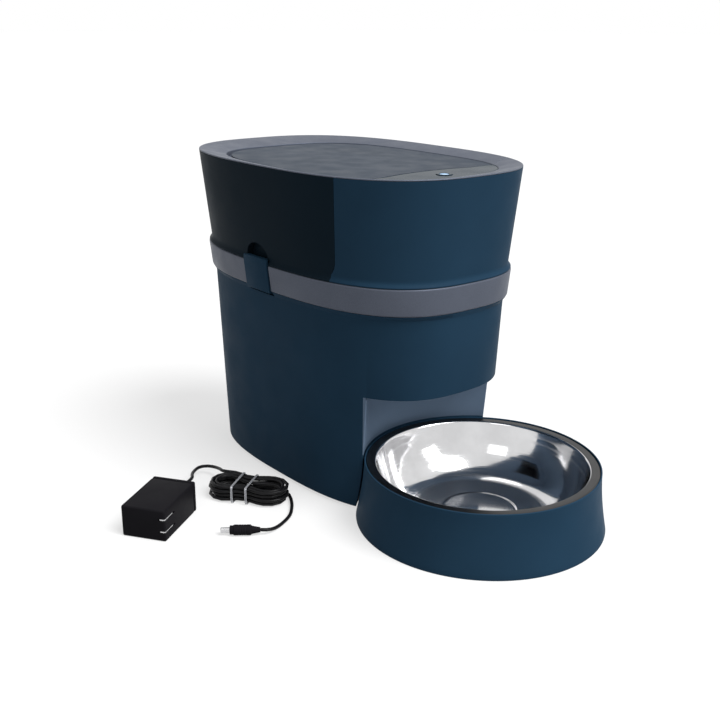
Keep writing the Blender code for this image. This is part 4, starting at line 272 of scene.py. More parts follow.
TIE_PLACES = (-0.0075, 0.0075)
TIE_TURNS = 2
TIE_CORNER_STEPS = 5
TIE_SPREAD = TIE_RADIUS * 5
PLUG_Z = 0.0053
PLUG_X = 0.0983
PLUG_Y = -0.1908
PLUG_TURN = math.radians(232.6)
PLUG_GRIP_LENGTH = 0.0180
PLUG_GRIP_RADIUS = 0.0052
PLUG_NECK_LENGTH = 0.0080
PLUG_NECK_RADIUS = 0.0040
PLUG_TAIL_RADIUS = 0.0025
PLUG_NOSE_RADIUS = 0.0044
PLUG_NOSE_LENGTH = 0.0030
PLUG_GROOVES = (0.30, 0.43, 0.56, 0.69)
PLUG_GROOVE_HALF_WIDTH = PLUG_GRIP_LENGTH * 0.03
PLUG_GROOVE_RADIUS = PLUG_GRIP_RADIUS * 0.93
BARREL_RADIUS = 0.00275
BARREL_BORE_RADIUS = 0.00125
BARREL_LENGTH = 0.0085
BARREL_EDGE = (BARREL_RADIUS - BARREL_BORE_RADIUS) / 5

# Camera as fitted to the photograph
CAMERA_PLACE = (0.81696, -0.66621, 0.46679)
CAMERA_YAW = 2.4582
CAMERA_PITCH = 0.3412
CAMERA_ROLL = 0.0060
CAMERA_LENS = 50.33
CAMERA_SENSOR = 36.0
CAMERA_SHIFT_X = 0.0135
CAMERA_SHIFT_Y = 0.0215

# Lamps, the last three as name, place, size and power
SUN_STRENGTH = 3.2
SUN_ANGLE = math.radians(34)
SUN_HEADING = (-0.54, -0.18, -0.84)
LAMP_AIM = (0.0, -0.02, 0.14)
LAMPS = (
    ("key", (1.9, 0.75, 1.25), (0.7, 1.0), 11),
    ("front", (0.9, -1.9, 1.5), (0.9, 0.7), 3),
    ("top", (-0.5, 0.7, 2.1), (1.2, 0.8), 5),
)
WORLD_LIGHT = 0.40
FLOOR_SIZE = 60.0
FLOOR_ALBEDO = 0.36
FLOOR_GLOW = 0.60
FLOOR_ROUGHNESS = 0.9

# Finishes. A layer of noise is its scale, its detail, how much it varies and any stretch along the axes.
COAT_ROUGHNESS = 0.1
LEAST_ROUGHNESS = 0.02
NOISE_RANGE = (0.35, 0.65)
MOULD_SHADE = ((14.0, 3.0, 0.05),)
MOULD_GLOSS = ((40.0, 4.0, 0.05),)
# How far the edges are brightened: partly rubbed edges, partly a painted highlight along them
MOULD_WEAR_AND_HIGHLIGHT = 0.6
SILVER_WEAR_AND_HIGHLIGHT = 1.2
WEAR_AND_HIGHLIGHT_RADIUS = 0.0007
WEAR_AND_HIGHLIGHT_SAMPLES = 4
WEAR_AND_HIGHLIGHT_EDGE = (0.995, 0.90)
WEAR_AND_HIGHLIGHT_PATCHES = (70.0, 3.0)
WEAR_AND_HIGHLIGHT_PATCH_RANGE = (0.3, 0.7, 0.6, 1.0)
FLAKES = (2600.0, 2.0)
# The niche's wall above the holder is painted lighter, as painted light from the bowl
NICHE_PAINTED_LIGHT_EDGE = 0.0008
NICHE_PAINTED_LIGHT_COLOUR = (0.105, 0.150, 0.215)
LENS_GLOW = (0.40, 0.68, 1.0, 1)
LENS_PATCHES = (90.0, 2.0)
LENS_GLOW_RANGE = (0.3, 0.7, 0.30, 0.40)
# The flange: where it starts, how dark its colour is painted as a painted reflection, and how much rougher it
# is
FLANGE_SHINE = 0.0012
FLANGE_PAINTED_DARK_REFLECTION = 0.07
FLANGE_ROUGHER = 0.22
RING_SCALE = 900.0
RING_ROUGHNESS = (0.055, 0.145)
RING_DEPTH = 0.000012
SHEET_WAVES = (22.0, 1.0)
SHEET_WAVE_DEPTH = 0.00025

# Fineness of the meshes
OUTLINE_STEPS = 288
TURN_STEPS = 160
ARC_STEPS = 96
ROUND_STEPS = 4
FINE_STEPS = 4000
BACK_STEPS = 260
CORNER_STEPS = 6
CROSS_STEPS = 2000
HOUSING_LEVELS = 14
HOLDER_LEVELS = 14
UPPER_LEVELS = 5
SEAM_STEPS = 16
NOTCH_STEPS = 40
ROUTE_STEPS = 24
PANEL_SIDES = 361
BUTTON_SIDES = 64
LENS_SIDES = 48
LENS_STEPS = 8
ROD_SIDES = 32
PIN_SIDES = 24
RIGHT_ANGLE = math.pi / 2
SHARP_ANGLE = math.radians(32)
LEAST_LENGTH = 1e-9
CORNER_LIMIT = 0.48


# Meshes
def add_object(name, mesh):
    obj = bpy.data.objects.new(name, mesh)
    bpy.context.scene.collection.objects.link(obj)
    return obj


def mesh_object(name, bm):
    bmesh.ops.recalc_face_normals(bm, faces=bm.faces)
    mesh = bpy.data.meshes.new(name)
    bm.to_mesh(mesh)
    bm.free()
    return add_object(name, mesh)


def superellipse(half_length, half_width, power, centre_x=0.0, count=OUTLINE_STEPS):
    """Evenly spaced outline points, anticlockwise from the front."""
    angle = np.linspace(0, 2 * math.pi, FINE_STEPS)
    c, s = np.cos(angle), np.sin(angle)
    x = centre_x + half_length * np.sign(c) * np.abs(c) ** (2 / power)
    y = half_width * np.sign(s) * np.abs(s) ** (2 / power)
    travelled = np.concatenate(([0], np.cumsum(np.hypot(np.diff(x), np.diff(y)))))
    even = np.linspace(0, travelled[-1], count, endpoint=False)
    return np.column_stack([np.interp(even, travelled, x), np.interp(even, travelled, y)])


def circle(radius, centre_x=0.0, count=TURN_STEPS):
    return superellipse(radius, radius, 2.0, centre_x, count)


def ring_at(points, z):
    points = np.asarray(points)
    return np.column_stack([points, np.full(len(points), z)])


def half_sizes(z):
    """Half length and half width of the housing at height z."""
    heights = (0.0, BAND_BOTTOM, BAND_TOP, HEIGHT)
    lengths = (FLOOR_HALF_LENGTH, BAND_BOTTOM_HALF_LENGTH, BAND_TOP_HALF_LENGTH, TOP_HALF_LENGTH)
    widths = (FLOOR_HALF_WIDTH, BAND_BOTTOM_HALF_WIDTH, BAND_TOP_HALF_WIDTH, TOP_HALF_WIDTH)
    return float(np.interp(z, heights, lengths)), float(np.interp(z, heights, widths))


def housing_outline(z, inset=0.0, count=OUTLINE_STEPS):
    half_length, half_width = half_sizes(z)
    return superellipse(half_length - inset, half_width - inset, OUTLINE_POWER, 0.0, count)


def housing_ring(z, inset=0.0):
    return ring_at(housing_outline(z, inset), z)


def rounded(line, radii, closed=False):
    """A line of points or of whole rings with its corners rounded; radii holds one radius for each corner."""
    line = [np.asarray(p, float) for p in line]
    result = []
    for i, here in enumerate(line):
        radius = radii if np.isscalar(radii) else radii[i]
        if radius == 0 or (not closed and i in (0, len(line) - 1)):
            result.append(here)
            continue
        before, after = line[i - 1], line[(i + 1) % len(line)]
        start = here + (before - here) * corner_share(before - here, radius)
        end = here + (after - here) * corner_share(after - here, radius)
        for step in range(ROUND_STEPS + 1):
            t = step / ROUND_STEPS
            result.append(start * (1 - t) ** 2 + here * 2 * t * (1 - t) + end * t**2)
    return result


def corner_share(side, radius):
    """The share of a side that a corner's rounding takes, at most a little less than half."""
    length = np.maximum(np.linalg.norm(side, axis=-1, keepdims=True), LEAST_LENGTH)
    return np.minimum(radius / length, CORNER_LIMIT)


def loft(name, rings, hollow=False):
    """A skin through rings of equal point counts, bottom first; a hollow one closes on its first ring."""
    bm = bmesh.new()
    loops = [[bm.verts.new(point) for point in ring] for ring in rings]
    pairs = list(zip(loops, loops[1:]))
    if hollow:
        pairs.append((loops[-1], loops[0]))
    else:
        bm.faces.new(loops[0])
        bm.faces.new(loops[-1])
    for lower, upper in pairs:
        for i, vertex in enumerate(lower):
            j = (i + 1) % len(lower)
            bm.faces.new((vertex, lower[j], upper[j], upper[i]))
    return mesh_object(name, bm)


def block(name, low, high):
    bm = bmesh.new()
    bmesh.ops.create_cube(bm, size=1)
    low, high = Vector(low), Vector(high)
    bmesh.ops.scale(bm, vec=high - low, verts=bm.verts)
    bmesh.ops.translate(bm, vec=(low + high) / 2, verts=bm.verts)
    return mesh_object(name, bm)


def slab(name, x_low, x_high, z_low, z_high, half_width=CUT_HALF_WIDTH):
    """A block that reaches as far to one side as to the other."""
    return block(name, (x_low, -half_width, z_low), (x_high, half_width, z_high))


def latch_block(name, side, half, near, far, low, high):
    """A block half to either side of a latch's middle, and from near to far off the centre line."""
    y_low, y_high = sorted((side * near, side * far))
    return block(name, (LATCH_X - half, y_low, low), (LATCH_X + half, y_high, high))


def rounded_block(name, low, high, radius):
    """A block with all its edges rounded, and more faces near them."""
    obj = block(name, low, high)
    bm = bmesh.new()
    bm.from_mesh(obj.data)
    bmesh.ops.bevel(bm, geom=bm.edges[:], offset=radius, segments=ROUND_STEPS, profile=0.5, affect="EDGES")
    bm.to_mesh(obj.data)
    bm.free()
    return obj


def rod(name, radius, start, length, axis, steps):
    """A cylinder from the point start along an axis."""
    turn = {"Z": Matrix.Identity(4), "X": Matrix.Rotation(RIGHT_ANGLE, 4, "Y"),
            "Y": Matrix.Rotation(-RIGHT_ANGLE, 4, "X")}[axis]
    bm = bmesh.new()
    bmesh.ops.create_cone(bm, cap_ends=True, segments=steps, radius1=radius, radius2=radius, depth=length)
    offset = Vector(start) + turn @ Vector((0, 0, length / 2))
    bmesh.ops.transform(bm, matrix=Matrix.Translation(offset) @ turn, verts=bm.verts)
    return mesh_object(name, bm)


def prism(name, outline, low, high, plane):
    """A flat outline given in the plane XY, XZ or YZ, drawn out along the third axis from low to high."""
    order = {"XY": (0, 1, 2), "XZ": (0, 2, 1), "YZ": (2, 0, 1)}[plane]
    return loft(name, [[tuple((u, v, w)[i] for i in order) for u, v in outline] for w in (low, high)])


def turned(name, profile, steps=TURN_STEPS, closed=False):
    """A profile of (radius, height) turned about Z; radii of zero meet on the axis."""
    bm = bmesh.new()
    columns = []
    for radius, z in profile:
        if radius < LEAST_LENGTH:
            columns.append([bm.verts.new((0, 0, z))] * steps)
            continue
        angles = [2 * math.pi * i / steps for i in range(steps)]
        columns.append([bm.verts.new((radius * math.cos(a), radius * math.sin(a), z)) for a in angles])
    pairs = list(zip(columns, columns[1:]))
    if closed:
        pairs.append((columns[-1], columns[0]))
    for one, other in pairs:
        for i in range(steps):
            j = (i + 1) % steps
            corners = []
            for vertex in (one[i], one[j], other[j], other[i]):
                if vertex not in corners:
                    corners.append(vertex)
            if len(corners) > 2:
                bm.faces.new(corners)
    return mesh_object(name, bm)


def combine(target, tools, operation):
    """Applies Booleans with the tools, one by one, and removes them."""
    for tool in tools:
        modifier = target.modifiers.new("cut", "BOOLEAN")
        modifier.operation = operation
        modifier.solver = "EXACT"
        modifier.object = tool
        apply_modifiers(target)
        bpy.data.objects.remove(tool)
    return target


def cut(target, *tools):
    return combine(target, tools, "DIFFERENCE")


def join(target, *tools):
    return combine(target, tools, "UNION")


def keep(target, *tools):
    return combine(target, tools, "INTERSECT")


def apply_modifiers(obj):
    bpy.context.view_layer.update()
    evaluated = obj.evaluated_get(bpy.context.evaluated_depsgraph_get())
    mesh = bpy.data.meshes.new_from_object(evaluated)
    obj.modifiers.clear()
    old = obj.data
    obj.data = mesh
    bpy.data.meshes.remove(old)
    return obj


def soften(obj, width):
    """Rounds the edges that cuts have left sharp."""
    bevel = obj.modifiers.new("edges", "BEVEL")
    bevel.width = width
    bevel.segments = 2
    bevel.limit_method = "ANGLE"
    bevel.angle_limit = SHARP_ANGLE
    bevel.use_clamp_overlap = True
    return apply_modifiers(obj)


def dress(obj, body, slot, *nodes, place=None, material=None):
    """Places a finished piece, gives it its slot's material or its own and lets it stand for its nodes."""
    obj.data.transform(Matrix.Translation((BODY_X, 0, 0)) @ (place or Matrix.Identity(4)))
    obj.data.materials.clear()
    obj.data.materials.append(material or MATERIALS[slot])
    if obj.type == "MESH":
        obj.data.shade_smooth()
        obj.data.set_sharp_from_angle(angle=SHARP_ANGLE)
    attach(obj, body)
    if nodes:
        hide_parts(*nodes)
    return obj


# Materials
class Finish:
    """A node material in object coordinates."""

    def __init__(self, name, colour, roughness, metallic=0.0, specular=0.5, coat=0.0):
        self.material = bpy.data.materials.new(name)
        self.material.use_nodes = True
        self.tree = self.material.node_tree
        self.shader = self.tree.nodes["Principled BSDF"]
        self.roughness = roughness
        self.height = None
        values = {"Base Color": (*colour, 1), "Roughness": roughness, "Metallic": metallic,
                  "Specular IOR Level": specular, "Coat Weight": coat, "Coat Roughness": COAT_ROUGHNESS}
        for socket, value in values.items():
            self.wire(self.shader, socket, value)
        self.coordinates = self.node("ShaderNodeTexCoord").outputs["Object"]

    def wire(self, node, socket, value):
        """Links another node's output to a socket, or gives it a value."""
        if isinstance(value, bpy.types.NodeSocket):
            self.tree.links.new(value, node.inputs[socket])
        else:
            node.inputs[socket].default_value = value

    def node(self, kind, **inputs):
        node = self.tree.nodes.new(kind)
        for socket, value in inputs.items():
            self.wire(node, socket.replace("_", " "), value)
        return node

    def math(self, operation, first, second=0.0):
        node = self.node("ShaderNodeMath")
        node.operation = operation
        self.wire(node, 0, first)
        self.wire(node, 1, second)
        return node.outputs[0]

    def noise(self, scale, detail, stretch=None):
        source = self.coordinates
        if stretch:
            source = self.node("ShaderNodeMapping", Vector=source, Scale=stretch).outputs["Vector"]
        return self.node("ShaderNodeTexNoise", Vector=source, Scale=scale, Detail=detail).outputs["Fac"]

    def ramp(self, value, low, high, to_low, to_high):
        ends = {"From_Min": low, "From_Max": high, "To_Min": to_low, "To_Max": to_high}
        return self.node("ShaderNodeMapRange", Value=value, **ends).outputs["Result"]

    def mix(self, kind, factor, colour):
        """Mixes a colour over the base colour as it is so far."""
        node = self.node("ShaderNodeMix")
        node.data_type = "RGBA"
        node.blend_type = kind
        base = self.shader.inputs["Base Color"]
        self.wire(node, "Factor", factor)
        self.wire(node, "A", base.links[0].from_socket if base.is_linked else base.default_value)
        self.wire(node, "B", colour)
        self.wire(self.shader, "Base Color", node.outputs["Result"])

    def multiply(self, factor):
        grey = self.node("ShaderNodeCombineColor", Red=factor, Green=factor, Blue=factor)
        self.mix("MULTIPLY", 1.0, grey.outputs["Color"])

    def shade(self, value, amount):
        """Varies the base colour's brightness by amount either way."""
        self.multiply(self.ramp(value, *NOISE_RANGE, 1 - amount, 1 + amount))

    def rough(self, value, amount):
        """Varies the roughness by amount either way."""
        least = max(LEAST_ROUGHNESS, self.roughness - amount)
        self.wire(self.shader, "Roughness", self.ramp(value, *NOISE_RANGE, least, self.roughness + amount))

    def bump(self, value, distance):
        """Adds a height to the surface, in metres; further bumps lie on the ones before."""
        node = self.node("ShaderNodeBump", Height=value, Strength=1.0, Distance=distance)
        if self.height is not None:
            self.wire(node, "Normal", self.height)
        self.height = node.outputs["Normal"]
        self.wire(self.shader, "Normal", self.height)

    def wear_and_highlight_edges(self, amount):
        """Brightens the edges, unevenly: partly rubbed edges, partly a painted highlight along them."""
        rounded_normal = self.node("ShaderNodeBevel", Radius=WEAR_AND_HIGHLIGHT_RADIUS)
        rounded_normal.samples = WEAR_AND_HIGHLIGHT_SAMPLES
        turn = self.node("ShaderNodeVectorMath")
        turn.operation = "DOT_PRODUCT"
        self.wire(turn, 0, rounded_normal.outputs["Normal"])
        self.wire(turn, 1, self.node("ShaderNodeNewGeometry").outputs["Normal"])
        edge = self.ramp(turn.outputs["Value"], *WEAR_AND_HIGHLIGHT_EDGE, 0.0, amount)
        patchy = self.ramp(self.noise(*WEAR_AND_HIGHLIGHT_PATCHES), *WEAR_AND_HIGHLIGHT_PATCH_RANGE)
        self.multiply(self.math("ADD", self.math("MULTIPLY", edge, patchy), 1.0))

    def from_bowl_axis(self):
        """Distance from the bowl's axis, and height above the floor."""
        centre = self.node("ShaderNodeMapping", Vector=self.coordinates, Location=(-(BOWL_X + BODY_X), 0, 0))
        split = self.node("ShaderNodeSeparateXYZ", Vector=centre.outputs["Vector"])
        squares = [self.math("POWER", self.math("ABSOLUTE", split.outputs[axis]), 2.0) for axis in "XY"]
        return self.math("POWER", self.math("ADD", *squares), 0.5), split.outputs["Z"]


def layered(name, colour, roughness, shades=(), gloss=(), heights=(), edge_wear_and_highlight=0.0, **more):
    """A finish of layers of noise in its colour, its gloss and its surface, with edges brightened if asked,
    as rubbed edges and painted highlight.
    """
    finish = Finish(name, colour, roughness, **more)
    for change, layers in ((finish.shade, shades), (finish.rough, gloss), (finish.bump, heights)):
        for scale, detail, amount, *stretch in layers:
            change(finish.noise(scale, detail, *stretch), amount)
    if edge_wear_and_highlight:
        finish.wear_and_highlight_edges(edge_wear_and_highlight)
    return finish


def moulded(name, colour, roughness, *heights, **more):
    """Moulded plastic: a fine spark-eroded grain, slight waviness, uneven gloss and edges brightened as
    rubbed edges and painted highlight.
    """
    return layered(name, colour, roughness, MOULD_SHADE, MOULD_GLOSS, heights, MOULD_WEAR_AND_HIGHLIGHT, **more)


def make_navy():
    """Painted light: the niche's wall above the holder is painted lighter, as it faces the bowl's own light.
    """
    finish = moulded("navy_moulding", (0.0140, 0.0385, 0.0690), 0.50,
                     (900.0, 3.0, 0.00006), (9.0, 1.0, 0.0004), specular=0.02)
    radius, height = finish.from_bowl_axis()
    inside = finish.math("LESS_THAN", radius, HOLDER_RIM_RADIUS + NICHE_CLEARANCE + NICHE_PAINTED_LIGHT_EDGE)
    above = finish.math("GREATER_THAN", height, HOLDER_HEIGHT + NICHE_PAINTED_LIGHT_EDGE)
    below = finish.math("LESS_THAN", height, NICHE_TOP + NICHE_PAINTED_LIGHT_EDGE)
    wall = finish.math("MULTIPLY", inside, finish.math("MULTIPLY", above, below))
    # Painted light: the niche's wall is mixed toward a lighter colour
    finish.mix("MIX", wall, (*NICHE_PAINTED_LIGHT_COLOUR, 1))
    return finish


def make_lens():
    """Milky lens with a soft light behind it."""
    finish = layered("status_lens_lit", (0.30, 0.55, 0.85), 0.25, heights=[(1200.0, 1.0, 0.00002)], coat=0.5)
    glow = finish.ramp(finish.noise(*LENS_PATCHES), *LENS_GLOW_RANGE)
    finish.wire(finish.shader, "Emission Color", LENS_GLOW)
    finish.wire(finish.shader, "Emission Strength", glow)
    return finish


def make_steel():
    """Pressed sheet: polished inside with faint rings and waves, brushed on the flange, where the colour is
    also painted dark as a painted reflection of the dark above it.
    """
    finish = layered("polished_steel", (0.66, 0.66, 0.67), 0.10, [(35.0, 3.0, 0.05)], metallic=1.0)
    radius = finish.from_bowl_axis()[0]
    flange = finish.math("GREATER_THAN", radius, BOWL_MOUTH_RADIUS + FLANGE_SHINE)
    rings = finish.node("ShaderNodeTexNoise", Scale=1.0)
    rings.noise_dimensions = "1D"
    finish.wire(rings, "W", finish.math("MULTIPLY", radius, RING_SCALE))
    satin = finish.math("ADD", finish.ramp(rings.outputs["Fac"], *NOISE_RANGE, *RING_ROUGHNESS),
                        finish.math("MULTIPLY", flange, FLANGE_ROUGHER))
    finish.wire(finish.shader, "Roughness", satin)
    # Painted reflection: the flange's colour is darkened for the dark it reflects
    finish.multiply(finish.ramp(flange, 0.0, 1.0, 1.0, FLANGE_PAINTED_DARK_REFLECTION))
    finish.bump(rings.outputs["Fac"], RING_DEPTH)
    finish.bump(finish.noise(*SHEET_WAVES), SHEET_WAVE_DEPTH)
    return finish.material


FINISHES = {
    "navy_plastic": make_navy(),
    "tinted_plastic": moulded("smoked_moulding", (0.0072, 0.0145, 0.0220), 0.38,
                              (400.0, 3.0, 0.00001), (7.0, 1.0, 0.0004), specular=0.01),
    # The silver's edges are brightened most: a painted highlight along the rim, and rubbed edges
    "silver_paint": layered("silver_paint_flake", (0.088, 0.100, 0.130), 0.42,
                            [(*FLAKES, 0.14), (20.0, 2.0, 0.03)], [(60.0, 3.0, 0.05)], [(*FLAKES, 0.00003)],
                            SILVER_WEAR_AND_HIGHLIGHT, metallic=0.30, specular=0.05),
    "lid_plastic": moulded("lid_semi_gloss", (0.0370, 0.0480, 0.0660), 0.36,
                           (500.0, 3.0, 0.000008), (5.0, 1.0, 0.0001), specular=0.01),
    "panel_gloss": moulded("panel_high_gloss", (0.0115, 0.0250, 0.0380), 0.14,
                           (300.0, 3.0, 0.000003), specular=0.01),
    "status_lens": make_lens(),
    "rubber": moulded("foot_rubber", (0.0120, 0.0120, 0.0125), 0.75, (1800.0, 3.0, 0.00008)),
    "frame_plastic": moulded("inner_moulding", (0.052, 0.057, 0.062), 0.50, (700.0, 3.0, 0.00004)),
    "gear_acetal": moulded("acetal_moulding", (0.70, 0.69, 0.65), 0.34, (500.0, 3.0, 0.00002)),
    "steel": layered("bright_steel", (0.55, 0.55, 0.56), 0.24, [(60.0, 3.0, 0.08)], [(200.0, 3.0, 0.06)],
                     [(800.0, 2.0, 0.00001, (1.0, 8.0, 8.0))], metallic=1.0),
    "circuit_board": layered("solder_mask", (0.010, 0.095, 0.040), 0.32,
                             [(300.0, 1.0, 0.25, (1.0, 4.0, 1.0))], heights=[(900.0, 2.0, 0.00003)],
                             coat=0.4),
    "black_plastic": moulded("black_moulding", (0.0100, 0.0096, 0.0115), 0.45,
                             (1100.0, 3.0, 0.00005), specular=0.015),
    "cord_jacket": layered("cord_vinyl", (0.0050, 0.0050, 0.0058), 0.42, [(60.0, 3.0, 0.15)],
                           [(150.0, 3.0, 0.08)], [(1500.0, 2.0, 0.00003)], specular=0.15),
    "tie_wire": layered("tie_clear_coat", (0.42, 0.43, 0.46), 0.30, [(700.0, 2.0, 0.2)],
                        heights=[(2500.0, 2.0, 0.00003)], metallic=0.5, coat=0.5),
}
MATERIALS = {slot: finish.material for slot, finish in FINISHES.items()}


def paint_nodes():
    """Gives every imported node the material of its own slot."""
    for subpart in frame["record"]["subparts"]:
        mesh = frame["nodes"][subpart["node"]].data
        mesh.materials.clear()
        mesh.materials.append(MATERIALS[subpart["material_slot"]])


# Camera, floor and light
def make_camera():
    level = math.cos(CAMERA_PITCH)
    forward = Vector((math.cos(CAMERA_YAW) * level, math.sin(CAMERA_YAW) * level, -math.sin(CAMERA_PITCH)))
    right = Vector((math.sin(CAMERA_YAW), -math.cos(CAMERA_YAW), 0))
    up = right.cross(forward)
    rolled_right = right * math.cos(CAMERA_ROLL) + up * math.sin(CAMERA_ROLL)
    rolled_up = up * math.cos(CAMERA_ROLL) - right * math.sin(CAMERA_ROLL)
    turn = Matrix((rolled_right, rolled_up, -forward)).transposed().to_4x4()
    data = bpy.data.cameras.new("camera")
    data.lens = CAMERA_LENS
    data.sensor_width = CAMERA_SENSOR
    data.shift_x = CAMERA_SHIFT_X
    data.shift_y = CAMERA_SHIFT_Y
    camera = add_object("camera", data)
    camera.matrix_world = Matrix.Translation(Vector(CAMERA_PLACE) + Vector((BODY_X, 0, 0))) @ turn
    bpy.context.scene.camera = camera


def shown_rays(tree):
    """One for rays that show the background: camera, glossy and transmission rays."""
    path = tree.nodes.new("ShaderNodeLightPath")
    total = path.outputs["Is Camera Ray"]
    for name in ("Is Glossy Ray", "Is Transmission Ray"):
        add = tree.nodes.new("ShaderNodeMath")
        add.operation = "MAXIMUM"
        tree.links.new(total, add.inputs[0])
        tree.links.new(path.outputs[name], add.inputs[1])
        total = add.outputs[0]
    return total


def make_world():
    world = bpy.data.worlds.new("studio")
    bpy.context.scene.world = world
    world.use_nodes = True
    tree = world.node_tree
    background = tree.nodes["Background"]
    background.inputs["Color"].default_value = (1, 1, 1, 1)
    mix = tree.nodes.new("ShaderNodeMapRange")
    mix.inputs["To Min"].default_value = WORLD_LIGHT
    mix.inputs["To Max"].default_value = 1.0
    tree.links.new(shown_rays(tree), mix.inputs["Value"])
    tree.links.new(mix.outputs["Result"], background.inputs["Strength"])


def make_floor():
    """A pale floor whose own glow makes it as white as the background, while shadows still show on it."""
    bm = bmesh.new()
    bmesh.ops.create_grid(bm, x_segments=1, y_segments=1, size=FLOOR_SIZE / 2)
    floor = mesh_object("floor", bm)
    material = bpy.data.materials.new("pale_floor")
    material.use_nodes = True
    tree = material.node_tree
    shader = tree.nodes["Principled BSDF"]
    values = {"Base Color": (FLOOR_ALBEDO, FLOOR_ALBEDO, FLOOR_ALBEDO, 1), "Roughness": FLOOR_ROUGHNESS,
              "Specular IOR Level": 0.0, "Emission Color": (1, 1, 1, 1)}
    for socket, value in values.items():
        shader.inputs[socket].default_value = value
    glow = tree.nodes.new("ShaderNodeMath")
    glow.operation = "MULTIPLY"
    tree.links.new(shown_rays(tree), glow.inputs[0])
    glow.inputs[1].default_value = FLOOR_GLOW
    tree.links.new(glow.outputs[0], shader.inputs["Emission Strength"])
    floor.data.materials.append(material)


def make_lamp(name, kind, heading, power):
    lamp = add_object(name, bpy.data.lights.new(name, kind))
    lamp.data.energy = power
    lamp.rotation_euler = Vector(heading).to_track_quat("-Z", "Y").to_euler()
    return lamp


def make_lamps():
    """A wide sun that lights the whole floor alike, and three softboxes round the object."""
    make_lamp("sun", "SUN", SUN_HEADING, SUN_STRENGTH).data.angle = SUN_ANGLE
    for name, place, size, power in LAMPS:
        lamp = make_lamp(name, "AREA", Vector(LAMP_AIM) - Vector(place), power)
        lamp.location = place
        lamp.data.shape = "RECTANGLE"
        lamp.data.size, lamp.data.size_y = size


# Cord, with the adapter and the plug, which come first among the pieces
def adapter_place():
    return Matrix.Translation((ADAPTER_X, ADAPTER_Y, 0)) @ Matrix.Rotation(ADAPTER_TURN, 4, "Z")


def relief_root():
    return Vector((0, ADAPTER_LENGTH / 2 + CLEARANCE, RELIEF_Z))


def relief_tip():
    return adapter_place() @ (relief_root() + Vector((0, RELIEF_LENGTH + CLEARANCE, 0)))


def relief_heading():
    return adapter_place().to_3x3() @ Vector((0, 1, 0))


def hank_place(u, v, z):
    c, s = math.cos(HANK_TURN), math.sin(HANK_TURN)
    return Vector((HANK_X + u * c - v * s, HANK_Y + u * s + v * c, z))


def hank_heading(angle):
    return (hank_place(math.cos(angle), math.sin(angle), 0) - hank_place(0, 0, 0)).normalized()


def smooth_step(share):
    share = min(1.0, max(0.0, share))
    return share * share * (3 - 2 * share)


def waist_at(u):
    """How far both runs are drawn in at a place along the hank, most where the tie holds them."""
    middle = HANK_WAIST_SHARE * HANK_RUN
    reach = HANK_RUN / 2 + (middle if u < middle else -middle)
    return HANK_WAIST * math.cos(RIGHT_ANGLE * min(1.0, abs(u - middle) / reach)) ** 2


def hank_point(turn):
    """Centre of the cord after a number of turns, from the top outer loop down to the floor's outer loop."""
    quarter = 1 / 4
    per_layer = HANK_LOOPS_PER_LAYER
    along = (turn - per_layer - quarter / 2) / per_layer
    if along > HANK_LAYERS - 1:
        wave = along - (HANK_LAYERS - 2)
    else:
        wave = abs((along + 1) % 2 - 1) if along > 0 else -along
    radius = HANK_INNER_RADIUS + HANK_PITCH * per_layer * wave
    dropped = sum(smooth_step((turn - per_layer * k) / quarter) for k in range(1, HANK_LAYERS))
    z = HANK_LIFT + CORD_DIAMETER / 2 + HANK_LAYER * (HANK_LAYERS - 1 - dropped)
    share = turn % 1
    half = HANK_RUN / 2
    if share < quarter:
        u, v, side = -half + HANK_RUN * share / quarter, radius, 1
    elif share < 2 * quarter:
        angle = math.pi * (share - quarter) / quarter
        return hank_place(half + radius * math.sin(angle), radius * math.cos(angle), z)
    elif share < 3 * quarter:
        u, v, side = half - HANK_RUN * (share - 2 * quarter) / quarter, -radius, -1
    else:
        angle = math.pi * (share - 3 * quarter) / quarter
        return hank_place(-half - radius * math.sin(angle), -radius * math.cos(angle), z)
    return hank_place(u, v - side * waist_at(u), z)


def hank_points():
    steps = HANK_LAYERS * HANK_LOOPS_PER_LAYER * HANK_LOOP_STEPS + HANK_END_STEPS
    points = [hank_point(i / HANK_LOOP_STEPS) for i in range(steps + 1)]
    before = points[0] - hank_heading(0.0) * CORD_DIAMETER
    return [before] + points + [points[-1] + hank_end_heading() * CORD_DIAMETER]


def hank_end_heading():
    return hank_heading(-math.pi * (HANK_END_STEPS / HANK_LOOP_STEPS - 1 / 4) * 4)


def smooth_route(knots, spacing):
    """Evenly spaced points on a smooth curve through the knots."""
    knots = [Vector(k) for k in knots]
    line = []
    for i in range(len(knots) - 1):
        before = knots[max(i - 1, 0)]
        after = knots[min(i + 2, len(knots) - 1)]
        a, b = knots[i], knots[i + 1]
        slope_a, slope_b = (b - before) / 2, (after - a) / 2
        for step in range(ROUTE_STEPS):
            t = step / ROUTE_STEPS
            line.append(a * (2 * t**3 - 3 * t**2 + 1) + slope_a * (t**3 - 2 * t**2 + t)
                        + b * (3 * t**2 - 2 * t**3) + slope_b * (t**3 - t**2))
    line.append(knots[-1])
    travelled = [0.0]
    for a, b in zip(line, line[1:]):
        travelled.append(travelled[-1] + (b - a).length)
    count = max(2, round(travelled[-1] / spacing))
    distances = [travelled[-1] * i / count for i in range(count + 1)]
    axes = [[point[axis] for point in line] for axis in range(3)]
    return [Vector([float(np.interp(d, travelled, places)) for places in axes]) for d in distances]


def plug_heading():
    return Vector((math.cos(PLUG_TURN), math.sin(PLUG_TURN), 0))


def plug_place():
    """The plug's own frame: its Z runs from the cord to the barrel."""
    turn = plug_heading().to_track_quat("Z", "X").to_matrix().to_4x4()
    return Matrix.Translation((PLUG_X, PLUG_Y, PLUG_Z)) @ turn


